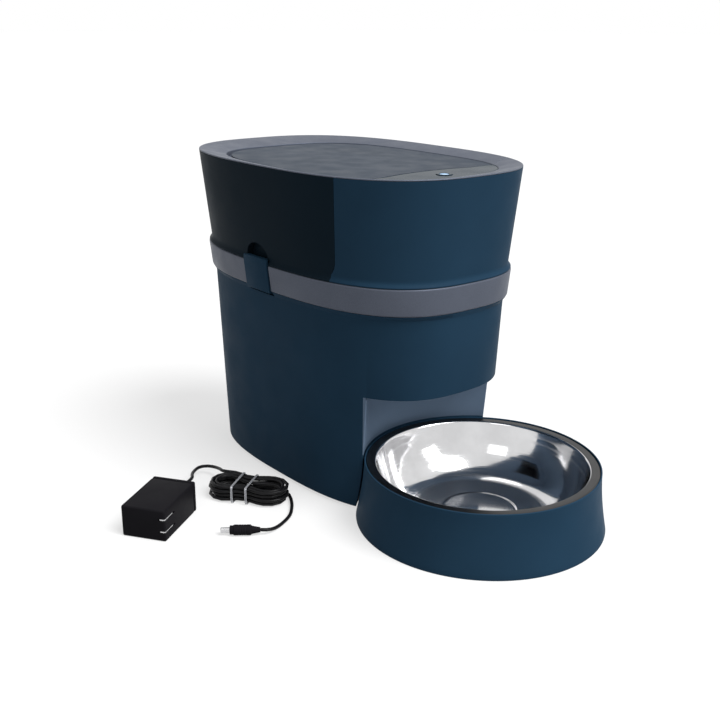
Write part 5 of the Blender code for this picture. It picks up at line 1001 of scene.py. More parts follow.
def cord_route():
    """The cord's centre line: the lead from the adapter, the hank and the lead to the plug."""
    hank = hank_points()
    run_in, run_out = hank_heading(0.0), hank_end_heading()
    tip, heading = relief_tip(), relief_heading()
    back = plug_place().translation
    first = smooth_route(
        [tip, tip + heading * CORD_DIAMETER * 2] + [Vector(k) for k in FIRST_LEAD]
        + [hank[0] - run_in * CORD_DIAMETER * 3, hank[0]], LEAD_SPACING)
    second = smooth_route(
        [hank[-1], hank[-1] + run_out * CORD_DIAMETER * 2] + [Vector(k) for k in SECOND_LEAD]
        + [back - plug_heading() * CORD_DIAMETER * 2, back - plug_heading() * CLEARANCE], LEAD_SPACING)
    return first[:-1] + hank + second[1:]


def tube(name, points, radius, resolution=4):
    data = bpy.data.curves.new(name, "CURVE")
    data.dimensions = "3D"
    data.fill_mode = "FULL"
    data.bevel_depth = radius
    data.bevel_resolution = resolution
    data.use_fill_caps = True
    spline = data.splines.new("POLY")
    spline.points.add(len(points) - 1)
    for point, place in zip(spline.points, points):
        point.co = (*place, 1)
    spline.use_smooth = True
    return add_object(name, data)


def tie_points(along):
    """Turns of tie wire round the hank at one place along it."""
    middle = HANK_WAIST_SHARE * HANK_RUN + along
    outer = HANK_INNER_RADIUS + HANK_PITCH * (HANK_LOOPS_PER_LAYER + 1 / 8) - waist_at(middle)
    corner = CORD_DIAMETER / 2 + TIE_GAP + TIE_RADIUS
    low = HANK_LIFT + CORD_DIAMETER / 2
    high = low + HANK_LAYER * (HANK_LAYERS - 1)
    corners = ((1, high), (-1, high), (-1, low), (1, low))
    count = TIE_TURNS * len(corners) * TIE_CORNER_STEPS
    points = []
    for i in range(count + 1):
        u = middle + TIE_SPREAD * (i / count - 1 / 2)
        side, z = corners[i // TIE_CORNER_STEPS % len(corners)]
        angle = RIGHT_ANGLE * (i // TIE_CORNER_STEPS + i % TIE_CORNER_STEPS / (TIE_CORNER_STEPS - 1))
        points.append(hank_place(u, side * outer + corner * math.cos(angle), z + corner * math.sin(angle)))
    return points


def relief_profile():
    """A relief that narrows along its length, with grooves round it."""
    profile = [(0, 0), (RELIEF_RADIUS, 0), (RELIEF_RADIUS, RELIEF_LENGTH * RELIEF_ROOT_SHARE)]
    for start in RELIEF_GROOVES:
        taper = (start - RELIEF_TAPER_START) / (1 - RELIEF_TAPER_START)
        radius = RELIEF_RADIUS + (RELIEF_TIP_RADIUS - RELIEF_RADIUS) * taper
        for share, factor in RELIEF_GROOVE_SHAPE:
            profile.append((radius * factor, RELIEF_LENGTH * (start + share)))
    return profile + [(RELIEF_TIP_RADIUS, RELIEF_LENGTH), (0, RELIEF_LENGTH)]


def plug_profile():
    """Moulded grip: a narrow tail, finger grooves round its middle and a collar at the barrel."""
    neck_end = PLUG_NECK_LENGTH
    grip_end = neck_end + PLUG_GRIP_LENGTH
    nose_end = grip_end + PLUG_NOSE_LENGTH
    edge = PLUG_TAIL_RADIUS / 2
    profile = [(0, 0), (PLUG_TAIL_RADIUS, 0), (PLUG_NECK_RADIUS, neck_end),
               (PLUG_GRIP_RADIUS, neck_end + edge)]
    for share in PLUG_GROOVES:
        z = neck_end + PLUG_GRIP_LENGTH * share
        profile += [(PLUG_GRIP_RADIUS, z - PLUG_GROOVE_HALF_WIDTH), (PLUG_GROOVE_RADIUS, z),
                    (PLUG_GRIP_RADIUS, z + PLUG_GROOVE_HALF_WIDTH)]
    return profile + [(PLUG_GRIP_RADIUS, grip_end - edge), (PLUG_NOSE_RADIUS, grip_end),
                      (PLUG_NOSE_RADIUS, nose_end), (0, nose_end)]


def barrel_profile():
    low = PLUG_NECK_LENGTH + PLUG_GRIP_LENGTH + PLUG_NOSE_LENGTH + CLEARANCE
    high = low + BARREL_LENGTH
    edge = high - BARREL_EDGE
    return [(0, low), (BARREL_RADIUS, low), (BARREL_RADIUS, edge), (BARREL_RADIUS - BARREL_EDGE, high),
            (BARREL_BORE_RADIUS + BARREL_EDGE, high), (BARREL_BORE_RADIUS, edge),
            (BARREL_BORE_RADIUS, low + BARREL_RADIUS), (0, low + BARREL_RADIUS)]


def make_adapter_and_cord():
    half = ADAPTER_WIDTH / 2
    front, back = -ADAPTER_LENGTH / 2, ADAPTER_LENGTH / 2
    case_end = back - ADAPTER_CAP - CLEARANCE
    case = rounded_block("adapter_body", (-half, front, 0), (half, case_end, ADAPTER_HEIGHT), ADAPTER_EDGE)
    axis_x = half - PRONG_SINK - PRONG_WIDTH / 2
    axis_y = front + PRONG_TIP_GAP + PRONG_LENGTH
    middle = ADAPTER_HEIGHT / 2 - PRONG_THICKNESS / 2
    for i, z in enumerate((middle - PRONG_SPACING / 2, middle + PRONG_SPACING / 2)):
        low = (axis_x - PRONG_WIDTH / 2 - CLEARANCE, front - OVERRUN, z - CLEARANCE)
        high = (half + OVERRUN, axis_y + PRONG_WIDTH / 2 + CLEARANCE, z + PRONG_THICKNESS + CLEARANCE)
        cut(case, block(f"slot_{i}", low, high))
    dress(case, "housing", "black_plastic", "adapter_case", place=adapter_place())
    cap = rounded_block("adapter_end", (-half, back - ADAPTER_CAP, 0), (half, back, ADAPTER_HEIGHT),
                        ADAPTER_EDGE)
    dress(cap, "housing", "black_plastic", "adapter_cap", place=adapter_place())
    relief = turned("adapter_relief", relief_profile(), ROD_SIDES)
    upright = adapter_place() @ Matrix.Translation(relief_root()) @ Matrix.Rotation(-RIGHT_ANGLE, 4, "X")
    dress(relief, "housing", "black_plastic", "adapter_strain_relief", place=upright)
    grip = turned("plug_body", plug_profile(), ROD_SIDES)
    dress(grip, "housing", "black_plastic", "plug_grip", place=plug_place())
    barrel = turned("plug_tip", barrel_profile(), ROD_SIDES)
    dress(barrel, "housing", "steel", "plug_barrel", place=plug_place())
    for i, along in enumerate(TIE_PLACES):
        tie = tube(f"tie_{i}", tie_points(along), TIE_RADIUS, 2)
        dress(tie, "housing", "tie_wire", "cord_tie")
    cord = tube("power_cord", cord_route(), CORD_DIAMETER / 2)
    dress(cord, "housing", "cord_jacket", "cord_hank", "cord_from_adapter", "cord_to_plug")


# Lower housing and the niche for the bowl
def holder_radius(z):
    """Outer radius of the bowl holder, which flares towards the floor."""
    fall = max(0.0, 1 - z / HOLDER_HEIGHT)
    return HOLDER_RIM_RADIUS + HOLDER_FLARE * fall**HOLDER_FLARE_POWER


def niche_radius(z, grow):
    """The niche follows the holder's flare and leans in above it."""
    lean = NICHE_TOP_LEAN * max(0.0, (z - HOLDER_HEIGHT) / (NICHE_TOP - HOLDER_HEIGHT))
    return holder_radius(z) + NICHE_CLEARANCE - lean + grow


def crossing(points, radius):
    """How far along an outline, from the front and up its far side, it leaves the niche's circle."""
    half = points[: len(points) // 2]
    distance = np.hypot(half[:, 0] - BOWL_X, half[:, 1]) - radius
    first = int(np.argmax(distance > 0))
    share = distance[first - 1] / (distance[first - 1] - distance[first])
    return first - 1 + share


def along_outline(points, places):
    """Points at fractional places along a closed outline."""
    closed = np.vstack([points, points[:1]])
    index = np.arange(len(closed))
    places = np.mod(places, len(points))
    return np.column_stack([np.interp(places, index, closed[:, 0]), np.interp(places, index, closed[:, 1])])


def split_ring(z_back, z_front, inset, grow, niche, edge=0.0):
    """One ring of the housing: its back from side to side, a corner, the niche's wall or the front, a corner.

    The back lies at z_back and the rest at z_front. Edge draws the front in from the outline.
    """
    back_outline = housing_outline(z_back, inset, CROSS_STEPS)
    front_outline = housing_outline(z_front, inset + (0.0 if niche else edge), CROSS_STEPS)
    level = min(z_back, NICHE_TOP + grow)
    place = crossing(back_outline, niche_radius(level, grow))
    front_level = min(z_front, NICHE_TOP + grow)
    front_place = crossing(housing_outline(z_front, inset, CROSS_STEPS), niche_radius(front_level, grow))
    round_off = NICHE_EDGE / (np.linalg.norm(np.diff(back_outline, axis=0), axis=1).mean())
    near_start, near_end = CROSS_STEPS - place - round_off, CROSS_STEPS - place + round_off
    back = along_outline(back_outline, np.linspace(place + round_off, near_start, BACK_STEPS))
    if niche:
        radius = niche_radius(front_level, grow)
        corner = along_outline(front_outline, np.array([front_place]))[0]
        half = math.atan2(corner[1], corner[0] - BOWL_X)
        trim = NICHE_EDGE / radius
        angles = np.linspace(-half - trim, half + trim - 2 * math.pi, ARC_STEPS)
        front = np.column_stack([BOWL_X + radius * np.cos(angles), radius * np.sin(angles)])
        near = corner * (1, -1)
        near_corner = bezier(back[-1], near, front[0])
        far_corner = bezier(front[-1], corner, back[0])
    else:
        near_places = np.linspace(near_start, near_end, CORNER_STEPS + 2)
        far_places = CROSS_STEPS - near_places[::-1]
        front_end = CROSS_STEPS + place - round_off
        front = along_outline(front_outline, np.linspace(near_end, front_end, ARC_STEPS))
        near_corner = along_outline(front_outline, near_places[1:-1])
        far_corner = along_outline(front_outline, far_places[1:-1])
    ring = [ring_at(back, z_back)] + [ring_at(points, z_front) for points in (near_corner, front, far_corner)]
    if z_back != z_front:
        blend = np.linspace(0, 1, CORNER_STEPS + 2)[1:-1]
        ring[1][:, 2] = z_back + (z_front - z_back) * blend
        ring[3][:, 2] = z_back + (z_front - z_back) * blend[::-1]
    return np.vstack(ring)


def bezier(start, middle, end):
    t = np.linspace(0, 1, CORNER_STEPS + 2)[1:-1, None]
    return start * (1 - t) ** 2 + middle * 2 * t * (1 - t) + end * t**2


def niche_rings(inset, grow, low):
    """Rings from the floor up over the niche's ceiling and its rounded front edge."""
    top = NICHE_TOP + grow
    rings = [split_ring(low, low, inset + HOUSING_EDGE * (grow == 0), grow, True)]
    levels = np.concatenate([np.linspace(low + HOUSING_EDGE, HOLDER_HEIGHT, HOUSING_LEVELS),
                             np.linspace(HOLDER_HEIGHT, top - NICHE_EDGE * 2, UPPER_LEVELS)[1:]])
    rings += [split_ring(z, z, inset, grow, True) for z in levels]
    rings.append(split_ring(top - NICHE_EDGE, top, inset, grow, True))
    rings.append(split_ring(top - NICHE_EDGE / 2, top, inset, grow, False, NICHE_EDGE))
    for step in range(1, ROUND_STEPS + 1):
        angle = RIGHT_ANGLE * step / ROUND_STEPS
        rise = NICHE_EDGE * (1 - math.cos(angle))
        draw_in = NICHE_EDGE * (1 - math.sin(angle))
        z_back = top - NICHE_EDGE / 2 + (NICHE_EDGE * 2) * step / ROUND_STEPS
        rings.append(split_ring(z_back, top + rise, inset, grow, False, draw_in))
    return rings


def make_housing():
    outside = niche_rings(0.0, 0.0, HOUSING_BOTTOM)
    upper = [(SHOULDER_BOTTOM - HOUSING_EDGE, 0.0), (SHOULDER_BOTTOM, 0.0),
             (BAND_BOTTOM - SHOULDER_LIP, -SHOULDER_OUT), (BAND_BOTTOM, -SHOULDER_OUT),
             (BAND_BOTTOM, NECK_INSET), (BAND_TOP, NECK_INSET), (BAND_TOP, NECK_INSET + WALL),
             (BAND_BOTTOM - WALL, NECK_INSET + WALL), (BAND_BOTTOM - WALL, WALL)]
    outside += [split_ring(z, z, inset, 0.0, False) for z, inset in upper]
    inside = niche_rings(WALL, WALL, HOUSING_BOTTOM)
    housing = loft("housing_shell", outside + inside[::-1], hollow=True)
    y = half_sizes(BAND_BOTTOM)[1]
    half = LATCH_WIDTH / 2 + LATCH_GAP
    low = LATCH_BOTTOM - LATCH_POCKET_BELOW
    inner = y - LATCH_POCKET_DEPTH
    for side in (-1, 1):
        join(housing, latch_block(f"boss_{side}", side, half + WALL, inner - WALL, y - WALL / 2, low - WALL,
                                  BAND_BOTTOM))
        cut(housing, latch_block(f"pocket_{side}", side, half, inner, CUT_HALF_WIDTH, low, LATCH_TOP))
    cut(housing, slab("mouth", MOUTH_LOW_X, MOUTH_HIGH_X, NICHE_TOP - OVERRUN, NICHE_TOP + WALL + OVERRUN,
                      MOUTH_HALF_WIDTH))
    return dress(housing, "housing", "navy_plastic", "lower_housing")


# Silver band and latches
def make_band():
    low = BAND_BOTTOM + CLEARANCE
    inner = NECK_INSET - CLEARANCE
    rings = rounded([
        housing_ring(low, -SHOULDER_OUT),
        housing_ring(low + BAND_EDGE, -BAND_OUT),
        housing_ring(BAND_TOP - BAND_EDGE, -BAND_OUT),
        housing_ring(BAND_TOP, -BAND_OUT + BAND_EDGE),
        housing_ring(BAND_TOP, inner),
        housing_ring(low, inner),
    ], BAND_ROUNDS, closed=True)
    band = loft("silver_band", rings, hollow=True)
    half = LATCH_WIDTH / 2 + LATCH_GAP
    web_low = LATCH_PIN_HEIGHT + LATCH_BARREL_RADIUS + LATCH_WEB_OUT
    for side in (-1, 1):
        deep = half_sizes(BAND_BOTTOM)[1] - NECK_INSET * 2
        web_top = half_sizes(BAND_TOP)[1] + LATCH_WEB_OUT
        profile = [(deep, BAND_BOTTOM - OVERRUN), (CUT_HALF_WIDTH, BAND_BOTTOM - OVERRUN),
                   (CUT_HALF_WIDTH, BAND_TOP + OVERRUN), (web_top, BAND_TOP + OVERRUN), (web_top, BAND_TOP),
                   (half_sizes(web_low)[1] + LATCH_WEB_OUT, web_low), (deep, web_low)]
        outline = [(side * y, z) for y, z in profile]
        cut(band, prism(f"band_gap_{side}", outline, LATCH_X - half, LATCH_X + half, "YZ"))
    return dress(band, "housing", "silver_paint", "trim_band")


def latch_pin_y():
    return half_sizes(LATCH_PIN_HEIGHT)[1] + LATCH_PIN_OUT


def make_latch(side, body):
    face_low = half_sizes(BAND_BOTTOM)[1] + BAND_OUT + LATCH_PROUD
    face_top = half_sizes(BAND_TOP)[1] + BAND_OUT + LATCH_PROUD
    profile = rounded([
        (face_low - LATCH_THICKNESS, LATCH_BOTTOM),
        (face_low, LATCH_BOTTOM),
        (face_top, BAND_TOP),
        (face_top, LATCH_TOP),
        (face_top - LATCH_THICKNESS, LATCH_TOP),
        (face_top - LATCH_THICKNESS, BAND_TOP),
    ], [0, LATCH_EDGE, LATCH_BEND, LATCH_EDGE, 0, 0], closed=True)
    outline = [(side * y, z) for y, z in profile]
    half = LATCH_WIDTH / 2
    latch = prism(f"{body}_tab", outline, LATCH_X - half, LATCH_X + half, "YZ")
    soften(latch, LATCH_SOFT_EDGE)
    y = side * latch_pin_y()
    back_top = face_top - LATCH_THICKNESS
    join(latch,
         rod(f"{body}_barrel", LATCH_BARREL_RADIUS, (LATCH_X - half, y, LATCH_PIN_HEIGHT), LATCH_WIDTH, "X",
             ROD_SIDES),
         latch_block(f"{body}_hook", side, LATCH_HOOK_WIDTH / 2, back_top - LATCH_HOOK_REACH,
                     back_top + LATCH_THICKNESS / 2, LATCH_TOP - LATCH_HOOK_HEIGHT, LATCH_TOP - CLEARANCE))
    bore_start = (LATCH_X - half - OVERRUN, y, LATCH_PIN_HEIGHT)
    cut(latch, rod(f"{body}_bore", LATCH_PIN_RADIUS + CLEARANCE, bore_start, LATCH_WIDTH + OVERRUN * 2, "X",
                   PIN_SIDES))
    return dress(latch, body, "navy_plastic", body)


# Hopper and front shell
def seam_outline(shift, front):
    """Side view of the hopper's or the front shell's half, parted along the seam and its round corner."""
    radius = SEAM_CORNER_RADIUS + shift
    centre_x = SEAM_LOW_X - SEAM_CORNER_RADIUS
    centre_z = SHELL_BOTTOM + SEAM_CORNER_RADIUS
    sweep = math.asin(SEAM_WEB_END / SEAM_CORNER_RADIUS)
    arc = []
    for i in range(SEAM_STEPS + 1):
        angle = sweep * i / SEAM_STEPS
        arc.append((centre_x + radius * math.cos(angle), centre_z - radius * math.sin(angle)))
    far_x = CUT_HALF_LENGTH * (1 if front else -1)
    bottom = SHELL_BOTTOM - OVERRUN
    top = HEIGHT + OVERRUN
    return [(SEAM_TOP_X + shift, top)] + arc + [(arc[-1][0], bottom), (far_x, bottom), (far_x, top)]


def shell_solid(name):
    rings = rounded([
        housing_ring(SHELL_BOTTOM, -SKIRT_OUT + SKIRT_LIP),
        housing_ring(SHELL_BOTTOM + SKIRT_FACE, -SKIRT_OUT),
        housing_ring(SKIRT_TOP, 0.0),
        housing_ring(SHELL_TOP, 0.0),
    ], SHELL_ROUNDS)
    return loft(name, rings)


def wall_room(name, low, high, inset=WALL):
    return loft(name, [housing_ring(low, inset), housing_ring(high, inset)])


def make_front_shell():
    back = BULKHEAD_X + WALL
    shell = shell_solid("front_cover")
    room = wall_room("front_room", SHELL_BOTTOM - OVERRUN, SHELL_TOP + OVERRUN)
    keep(room, slab("front_limit", back, CUT_HALF_LENGTH, 0, HEIGHT + OVERRUN * 2))
    cut(shell, room)
    keep(shell, prism("front_view", seam_outline(CLEARANCE, True), -CUT_HALF_WIDTH, CUT_HALF_WIDTH, "XZ"))
    web = wall_room("web_room", SHELL_BOTTOM - OVERRUN, SHELL_TOP + OVERRUN)
    keep(web, slab("web_limit", 0, BULKHEAD_X, 0, SHELL_TOP))
    cut(shell, web)
    top_room = wall_room("bulkhead_top", BIN_FRONT_TOP, HEIGHT + OVERRUN, WALL + CLEARANCE)
    keep(top_room, slab("bulkhead_top_limit", BULKHEAD_X - WALL, back + OVERRUN, 0, HEIGHT * 2))
    cut(shell, top_room)
    return dress(shell, "housing", "navy_plastic", "front_shell")


def funnel_rings(inset, low, high):
    outlet = superellipse(FUNNEL_OUTLET_HALF_LENGTH - inset, FUNNEL_OUTLET_HALF_WIDTH - inset,
                          FUNNEL_OUTLET_POWER, FUNNEL_OUTLET_X)
    mouth = superellipse(FUNNEL_TOP_HALF_LENGTH - inset, FUNNEL_TOP_HALF_WIDTH - inset, FUNNEL_TOP_POWER,
                         FUNNEL_TOP_X)
    return [ring_at(outlet, low), ring_at(outlet, FUNNEL_NECK_Z), ring_at(mouth, SHELL_BOTTOM),
            ring_at(mouth, high)]


def notch_solid(name, grow, side):
    """Half-round finger notch in the hopper's side, open at the bottom for the latch's hook."""
    half = FINGER_NOTCH_WIDTH / 2 + grow
    rise = FINGER_NOTCH_TOP - LATCH_TOP + grow
    outline = [(LATCH_X - half, SHELL_BOTTOM - OVERRUN), (LATCH_X + half, SHELL_BOTTOM - OVERRUN)]
    for i in range(NOTCH_STEPS + 1):
        angle = math.pi * i / NOTCH_STEPS
        outline.append((LATCH_X + half * math.cos(angle), LATCH_TOP + rise * math.sin(angle)))
    inner = half_sizes(LATCH_TOP)[1] - FINGER_NOTCH_DEPTH - grow
    low, high = sorted((side * inner, side * CUT_HALF_WIDTH))
    return prism(name, outline, low, high, "XZ")


def make_hopper():
    wide = CUT_HALF_WIDTH
    hopper = shell_solid("hopper_bin")
    keep(hopper, prism("hopper_view", seam_outline(-CLEARANCE, False), -wide, wide, "XZ"))
    join(hopper, loft("funnel_outside", funnel_rings(0.0, FUNNEL_OUTLET_Z, SHELL_BOTTOM + BIN_FLOOR / 2)))
    room = wall_room("bin_room", SHELL_BOTTOM + BIN_FLOOR, SHELL_TOP + OVERRUN)
    corner = [(x, z + BIN_FLOOR) for x, z in seam_outline(-CLEARANCE - WALL, False)]
    keep(room, prism("bin_limit", corner, -wide, wide, "XZ"))
    cut(room, *[notch_solid(f"notch_wall_{side}", WALL, side) for side in (-1, 1)])
    funnel_room = funnel_rings(WALL, FUNNEL_OUTLET_Z - OVERRUN, SHELL_BOTTOM + BIN_FLOOR * 2)
    cut(hopper, room, loft("funnel_inside", funnel_room))
    half = LATCH_WIDTH / 2 + LATCH_GAP
    for side in (-1, 1):
        cut(hopper, notch_solid(f"notch_{side}", 0.0, side),
            latch_block(f"skirt_gap_{side}", side, half, half_sizes(LATCH_TOP)[1] - CLEARANCE, wide,
                        SHELL_BOTTOM - OVERRUN, LATCH_TOP + CLEARANCE))
    front = BULKHEAD_X - CLEARANCE - WALL
    cut(hopper, slab("bin_front_top", front - OVERRUN * 2, CUT_HALF_LENGTH, BIN_FRONT_TOP, HEIGHT + OVERRUN,
                     OPENING_HALF_WIDTH + LEDGE_REACH))
    return dress(hopper, "hopper", "tinted_plastic", "hopper")


# Rim, lid and control panel
def opening_ring(z, ends=0.0, sides=0.0, shift=0.0):
    """The opening's outline at height z, grown at its ends and its sides and moved along X."""
    return ring_at(superellipse(OPENING_HALF_LENGTH + ends, OPENING_HALF_WIDTH + sides, OPENING_POWER,
                                OPENING_X + shift), z)


def ledge_ring(z):
    shift = (LEDGE_REAR_REACH - LEDGE_REACH) / 2
    return opening_ring(z, -LEDGE_REACH - shift, -LEDGE_REACH, shift)


def rim_ring(name):
    """The whole sloping rim round the top, with the ledge that the lid and the panel rest on."""
    rings = rounded([
        housing_ring(SHELL_TOP + CLEARANCE, RIM_UNDER_INSET),
        housing_ring(SHELL_TOP + CLEARANCE, CLEARANCE),
        housing_ring(HEIGHT - RIM_CROWN_DROP, 0.0),
        housing_ring(HEIGHT, RIM_CROWN),
        opening_ring(HEIGHT - RIM_INNER_DROP),
        opening_ring(LEDGE_Z),
        ledge_ring(LEDGE_Z),
        ledge_ring(LEDGE_Z - LEDGE_THICKNESS),
        opening_ring(LEDGE_Z - LEDGE_THICKNESS, LEDGE_ROOT, LEDGE_ROOT),
    ], RIM_ROUNDS, closed=True)
    return loft(name, rings, hollow=True)


def hinge_relief(name):
    return slab(name, LID_HINGE_X - HINGE_RELIEF_BACK, LID_HINGE_X + HINGE_RELIEF_FRONT,
                LEDGE_Z - LEDGE_THICKNESS - OVERRUN, LEDGE_Z + CLEARANCE, opening_half_width_at(LID_HINGE_X))


def opening_half_width_at(x):
    share = abs((x - OPENING_X) / OPENING_HALF_LENGTH) ** OPENING_POWER
    return OPENING_HALF_WIDTH * (1 - share) ** (1 / OPENING_POWER)


def rim_plan(shift, front):
    """Plan of the front or rear share of the rim, parted along a slanted seam at each side."""
    lean = (RIM_SEAM_INNER_X - RIM_SEAM_OUTER_X) / (RIM_SEAM_OUTER_Y - RIM_SEAM_INNER_Y)
    wide = CUT_HALF_WIDTH
    outer_x = RIM_SEAM_OUTER_X - lean * (wide - RIM_SEAM_OUTER_Y)
    side = [(outer_x + shift, wide), (RIM_SEAM_INNER_X + shift, RIM_SEAM_INNER_Y)]
    far_x = CUT_HALF_LENGTH * (1 if front else -1)
    return side + [(x, -y) for x, y in reversed(side)] + [(far_x, -wide), (far_x, wide)]


def make_rims():
    low, high = LEDGE_Z - OVERRUN * 2, HEIGHT + OVERRUN
    for name, shift, front, body, node in (("rear_rim", -CLEARANCE, False, "hopper", "lid_rim"),
                                           ("front_rim", CLEARANCE, True, "housing", "front_cap")):
        rim = rim_ring(name)
        keep(rim, prism(f"{name}_plan", rim_plan(shift, front), low, high, "XY"))
        cut(rim, hinge_relief(f"{name}_relief"))
        dress(rim, body, "silver_paint", node)


def lid_top():
    return HEIGHT - RIM_INNER_DROP - LID_SINK


def lid_ring(z, inset=0.0):
    shift = (LID_FINGER_GAP - LID_SIDE_GAP) / 2
    return opening_ring(z, -LID_SIDE_GAP - shift - inset, -LID_SIDE_GAP - inset, shift)


def panel_back(name, shift, low, high):
    centre = (PANEL_BACK_X + PANEL_BACK_RADIUS, 0, low)
    return rod(name, PANEL_BACK_RADIUS + shift, centre, high - low, "Z", PANEL_SIDES)


def make_lid():
    low, high = lid_top() - LID_THICKNESS, lid_top()
    rings = rounded([lid_ring(low), lid_ring(high), lid_ring(high, LID_EDGE * 4)], [0, LID_EDGE, 0])
    lid = loft("lid_cover", rings)
    front = panel_back("lid_front", LID_FRONT_GAP, low - OVERRUN, high + OVERRUN)
    join(front, slab("lid_limit", LID_FRONT_X, CUT_HALF_LENGTH, low - OVERRUN / 2, high + OVERRUN / 2))
    cut(lid, front)
    half = opening_half_width_at(LID_HINGE_X)
    for side in (-1, 1):
        start = half - LID_SIDE_GAP - LID_PIN_ROOT
        length = half + LID_PIN_REACH - start
        place = (LID_HINGE_X, start if side > 0 else -start - length, lid_top() - LID_HINGE_DROP)
        join(lid, rod(f"lid_pin_{side}", LID_PIN_RADIUS, place, length, "Y", PIN_SIDES))
    return dress(lid, "lid", "lid_plastic", "lid")


def make_panel():
    low, high = lid_top() - PANEL_THICKNESS, lid_top()
    inner = -PANEL_GAP - PANEL_EDGE_REACH
    rings = [opening_ring(low, -PANEL_GAP, -PANEL_GAP), opening_ring(high, -PANEL_GAP, -PANEL_GAP),
             opening_ring(high, inner, inner)]
    panel = loft("panel_cover", rounded(rings, [0, PANEL_EDGE, 0]))
    centre_x = PANEL_BACK_X + PANEL_BACK_RADIUS
    wide_back = circle(PANEL_BACK_RADIUS, centre_x, PANEL_SIDES)
    narrow_back = circle(PANEL_BACK_RADIUS - PANEL_BACK_EDGE * 2, centre_x, PANEL_SIDES)
    region = loft("panel_region", [ring_at(wide_back, low - OVERRUN),
                                   ring_at(wide_back, high - PANEL_BACK_EDGE),
                                   ring_at(narrow_back, high + PANEL_BACK_EDGE)])
    join(region, slab("panel_tips", RIM_SEAM_INNER_X + CLEARANCE, CUT_HALF_LENGTH, low - OVERRUN / 2,
                      high + PANEL_BACK_EDGE / 2))
    keep(panel, region)
    cut(panel, rod("button_hole", BUTTON_RADIUS + BUTTON_CLEARANCE, (BUTTON_X, 0, low - OVERRUN),
                   PANEL_THICKNESS + OVERRUN * 2, "Z", BUTTON_SIDES))
    return dress(panel, "housing", "panel_gloss", "control_panel")


def make_button():
    """The ring that presses down and the lit lens in its middle, which is slightly domed."""
    top = lid_top() + BUTTON_PROUD
    low = lid_top() - PANEL_THICKNESS
    hole = LIGHT_RADIUS + CLEARANCE
    at_button = Matrix.Translation((BUTTON_X, 0, 0))
    profile = rounded([(hole, top), (BUTTON_RADIUS, top), (BUTTON_RADIUS, low), (hole, low)],
                      BUTTON_ROUNDS, closed=True)
    ring = turned("button_ring", profile, BUTTON_SIDES, closed=True)
    dress(ring, "feed_button", "panel_gloss", "feed_button", place=at_button)
    dome = [(LIGHT_RADIUS * math.sin(a), top - LIGHT_DROP + LIGHT_DOME * math.cos(a))
            for a in np.linspace(0, RIGHT_ANGLE, LENS_STEPS)]
    lens = turned("button_lens", dome + [(LIGHT_RADIUS, low), (0, low)], LENS_SIDES)
    dress(lens, "feed_button", "status_lens", "status_light", place=at_button)


# Bowl and holder
def make_holder():
    rim, top = HOLDER_RIM_RADIUS, HOLDER_HEIGHT
    seat_z = top - HOLDER_LIP_DEPTH
    heights = np.linspace(HOLDER_HEIGHT, HOLDER_FOOT_EDGE, HOLDER_LEVELS)
    outer = [(holder_radius(z), z) for z in heights[1:]]
    foot = holder_radius(0)
    round_in = HOLDER_FOOT_EDGE * HOLDER_FOOT_SHARE
    outer += [(foot - round_in, round_in), (foot - HOLDER_FOOT_EDGE, 0)]
    inner = [(foot - WALL, 0)] + [(holder_radius(z) - WALL, z) for z in heights[-2:4:-1]]
    under = seat_z - HOLDER_SEAT_FALL - WALL
    collar = under - HOLDER_COLLAR_DEPTH
    inner += [(rim - WALL, under), (HOLDER_SEAT_RADIUS + WALL, under), (HOLDER_SEAT_RADIUS + WALL, collar),
              (HOLDER_SEAT_RADIUS, collar)]
    lip = rounded([(HOLDER_SEAT_RADIUS, under), (HOLDER_SEAT_RADIUS, seat_z - HOLDER_SEAT_FALL),
                   (rim - HOLDER_LIP, seat_z), (rim - HOLDER_LIP, top), (rim, top),
                   (holder_radius(heights[1]), heights[1])], HOLDER_ROUNDS)
    profile = [tuple(p) for p in outer + inner] + [tuple(p) for p in lip[1:-1]]
    holder = turned("bowl_stand", profile, TURN_STEPS * 2, closed=True)
    at_bowl = Matrix.Translation((BOWL_X, 0, 0))
    return dress(holder, "bowl_holder", "navy_plastic", "bowl_holder", place=at_bowl)


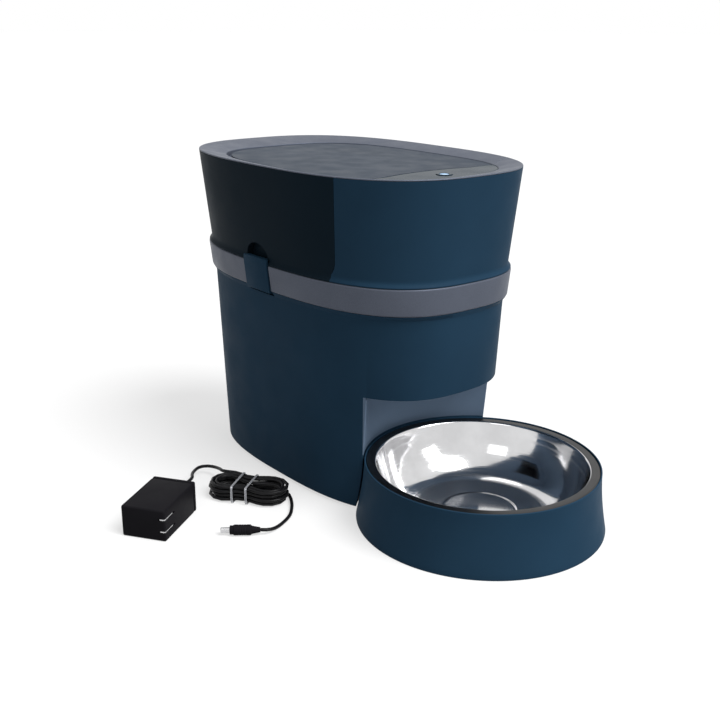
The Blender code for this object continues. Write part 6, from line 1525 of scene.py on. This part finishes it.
def bowl_line():
    """Upper side of the bowl from its flange to the middle of its floor, with two pressed rings."""
    flange = HOLDER_RIM_RADIUS - HOLDER_LIP - CLEARANCE * 2
    flange_z = HOLDER_HEIGHT - HOLDER_LIP_DEPTH + CLEARANCE + BOWL_SHEET
    depth = flange_z - BOWL_FLOOR_HEIGHT
    width = BOWL_MOUTH_RADIUS - BOWL_FLOOR_RADIUS
    flange_top = flange_z + BOWL_SHEET / 2
    line = [(flange, flange_z), (flange - BOWL_FLANGE_ROLL, flange_top),
            (BOWL_MOUTH_RADIUS + BOWL_FLANGE_ROLL, flange_top), (BOWL_MOUTH_RADIUS, flange_z - BOWL_SHEET)]
    line += [(BOWL_MOUTH_RADIUS - a * width, flange_z - d * depth) for a, d in BOWL_SIDE_SHARES]
    line += [(BOWL_FLOOR_RADIUS, BOWL_FLOOR_HEIGHT), (BOWL_RING_RADIUS + BOWL_RING_SLOPE, BOWL_FLOOR_HEIGHT),
             (BOWL_RING_RADIUS, BOWL_FLOOR_HEIGHT + BOWL_RING_RISE), (0, BOWL_FLOOR_HEIGHT + BOWL_RING_RISE)]
    return [tuple(p) for p in rounded(line, BOWL_ROUNDS)]


def make_bowl():
    upper = bowl_line()
    lower = []
    for i, (r, z) in enumerate(upper):
        before = upper[max(i - 1, 0)]
        after = upper[min(i + 1, len(upper) - 1)]
        along = Vector((after[0] - before[0], after[1] - before[1])).normalized()
        lower.append((max(0.0, r - along.y * BOWL_SHEET) if r > 0 else 0, z + along.x * BOWL_SHEET))
    bowl = turned("bowl_pan", upper[::-1] + lower, TURN_STEPS * 2)
    at_bowl = Matrix.Translation((BOWL_X, 0, 0))
    return dress(bowl, "steel_bowl", "steel", "steel_bowl", place=at_bowl, material=make_steel())


make_camera()
make_world()
make_floor()
make_lamps()
paint_nodes()
make_adapter_and_cord()
make_housing()
make_band()
make_latch(-1, "latch_near")
make_latch(1, "latch_far")
make_front_shell()
make_hopper()
make_rims()
make_lid()
make_panel()
make_button()
make_holder()
make_bowl()

bpy.context.scene.view_settings.view_transform = "Standard"
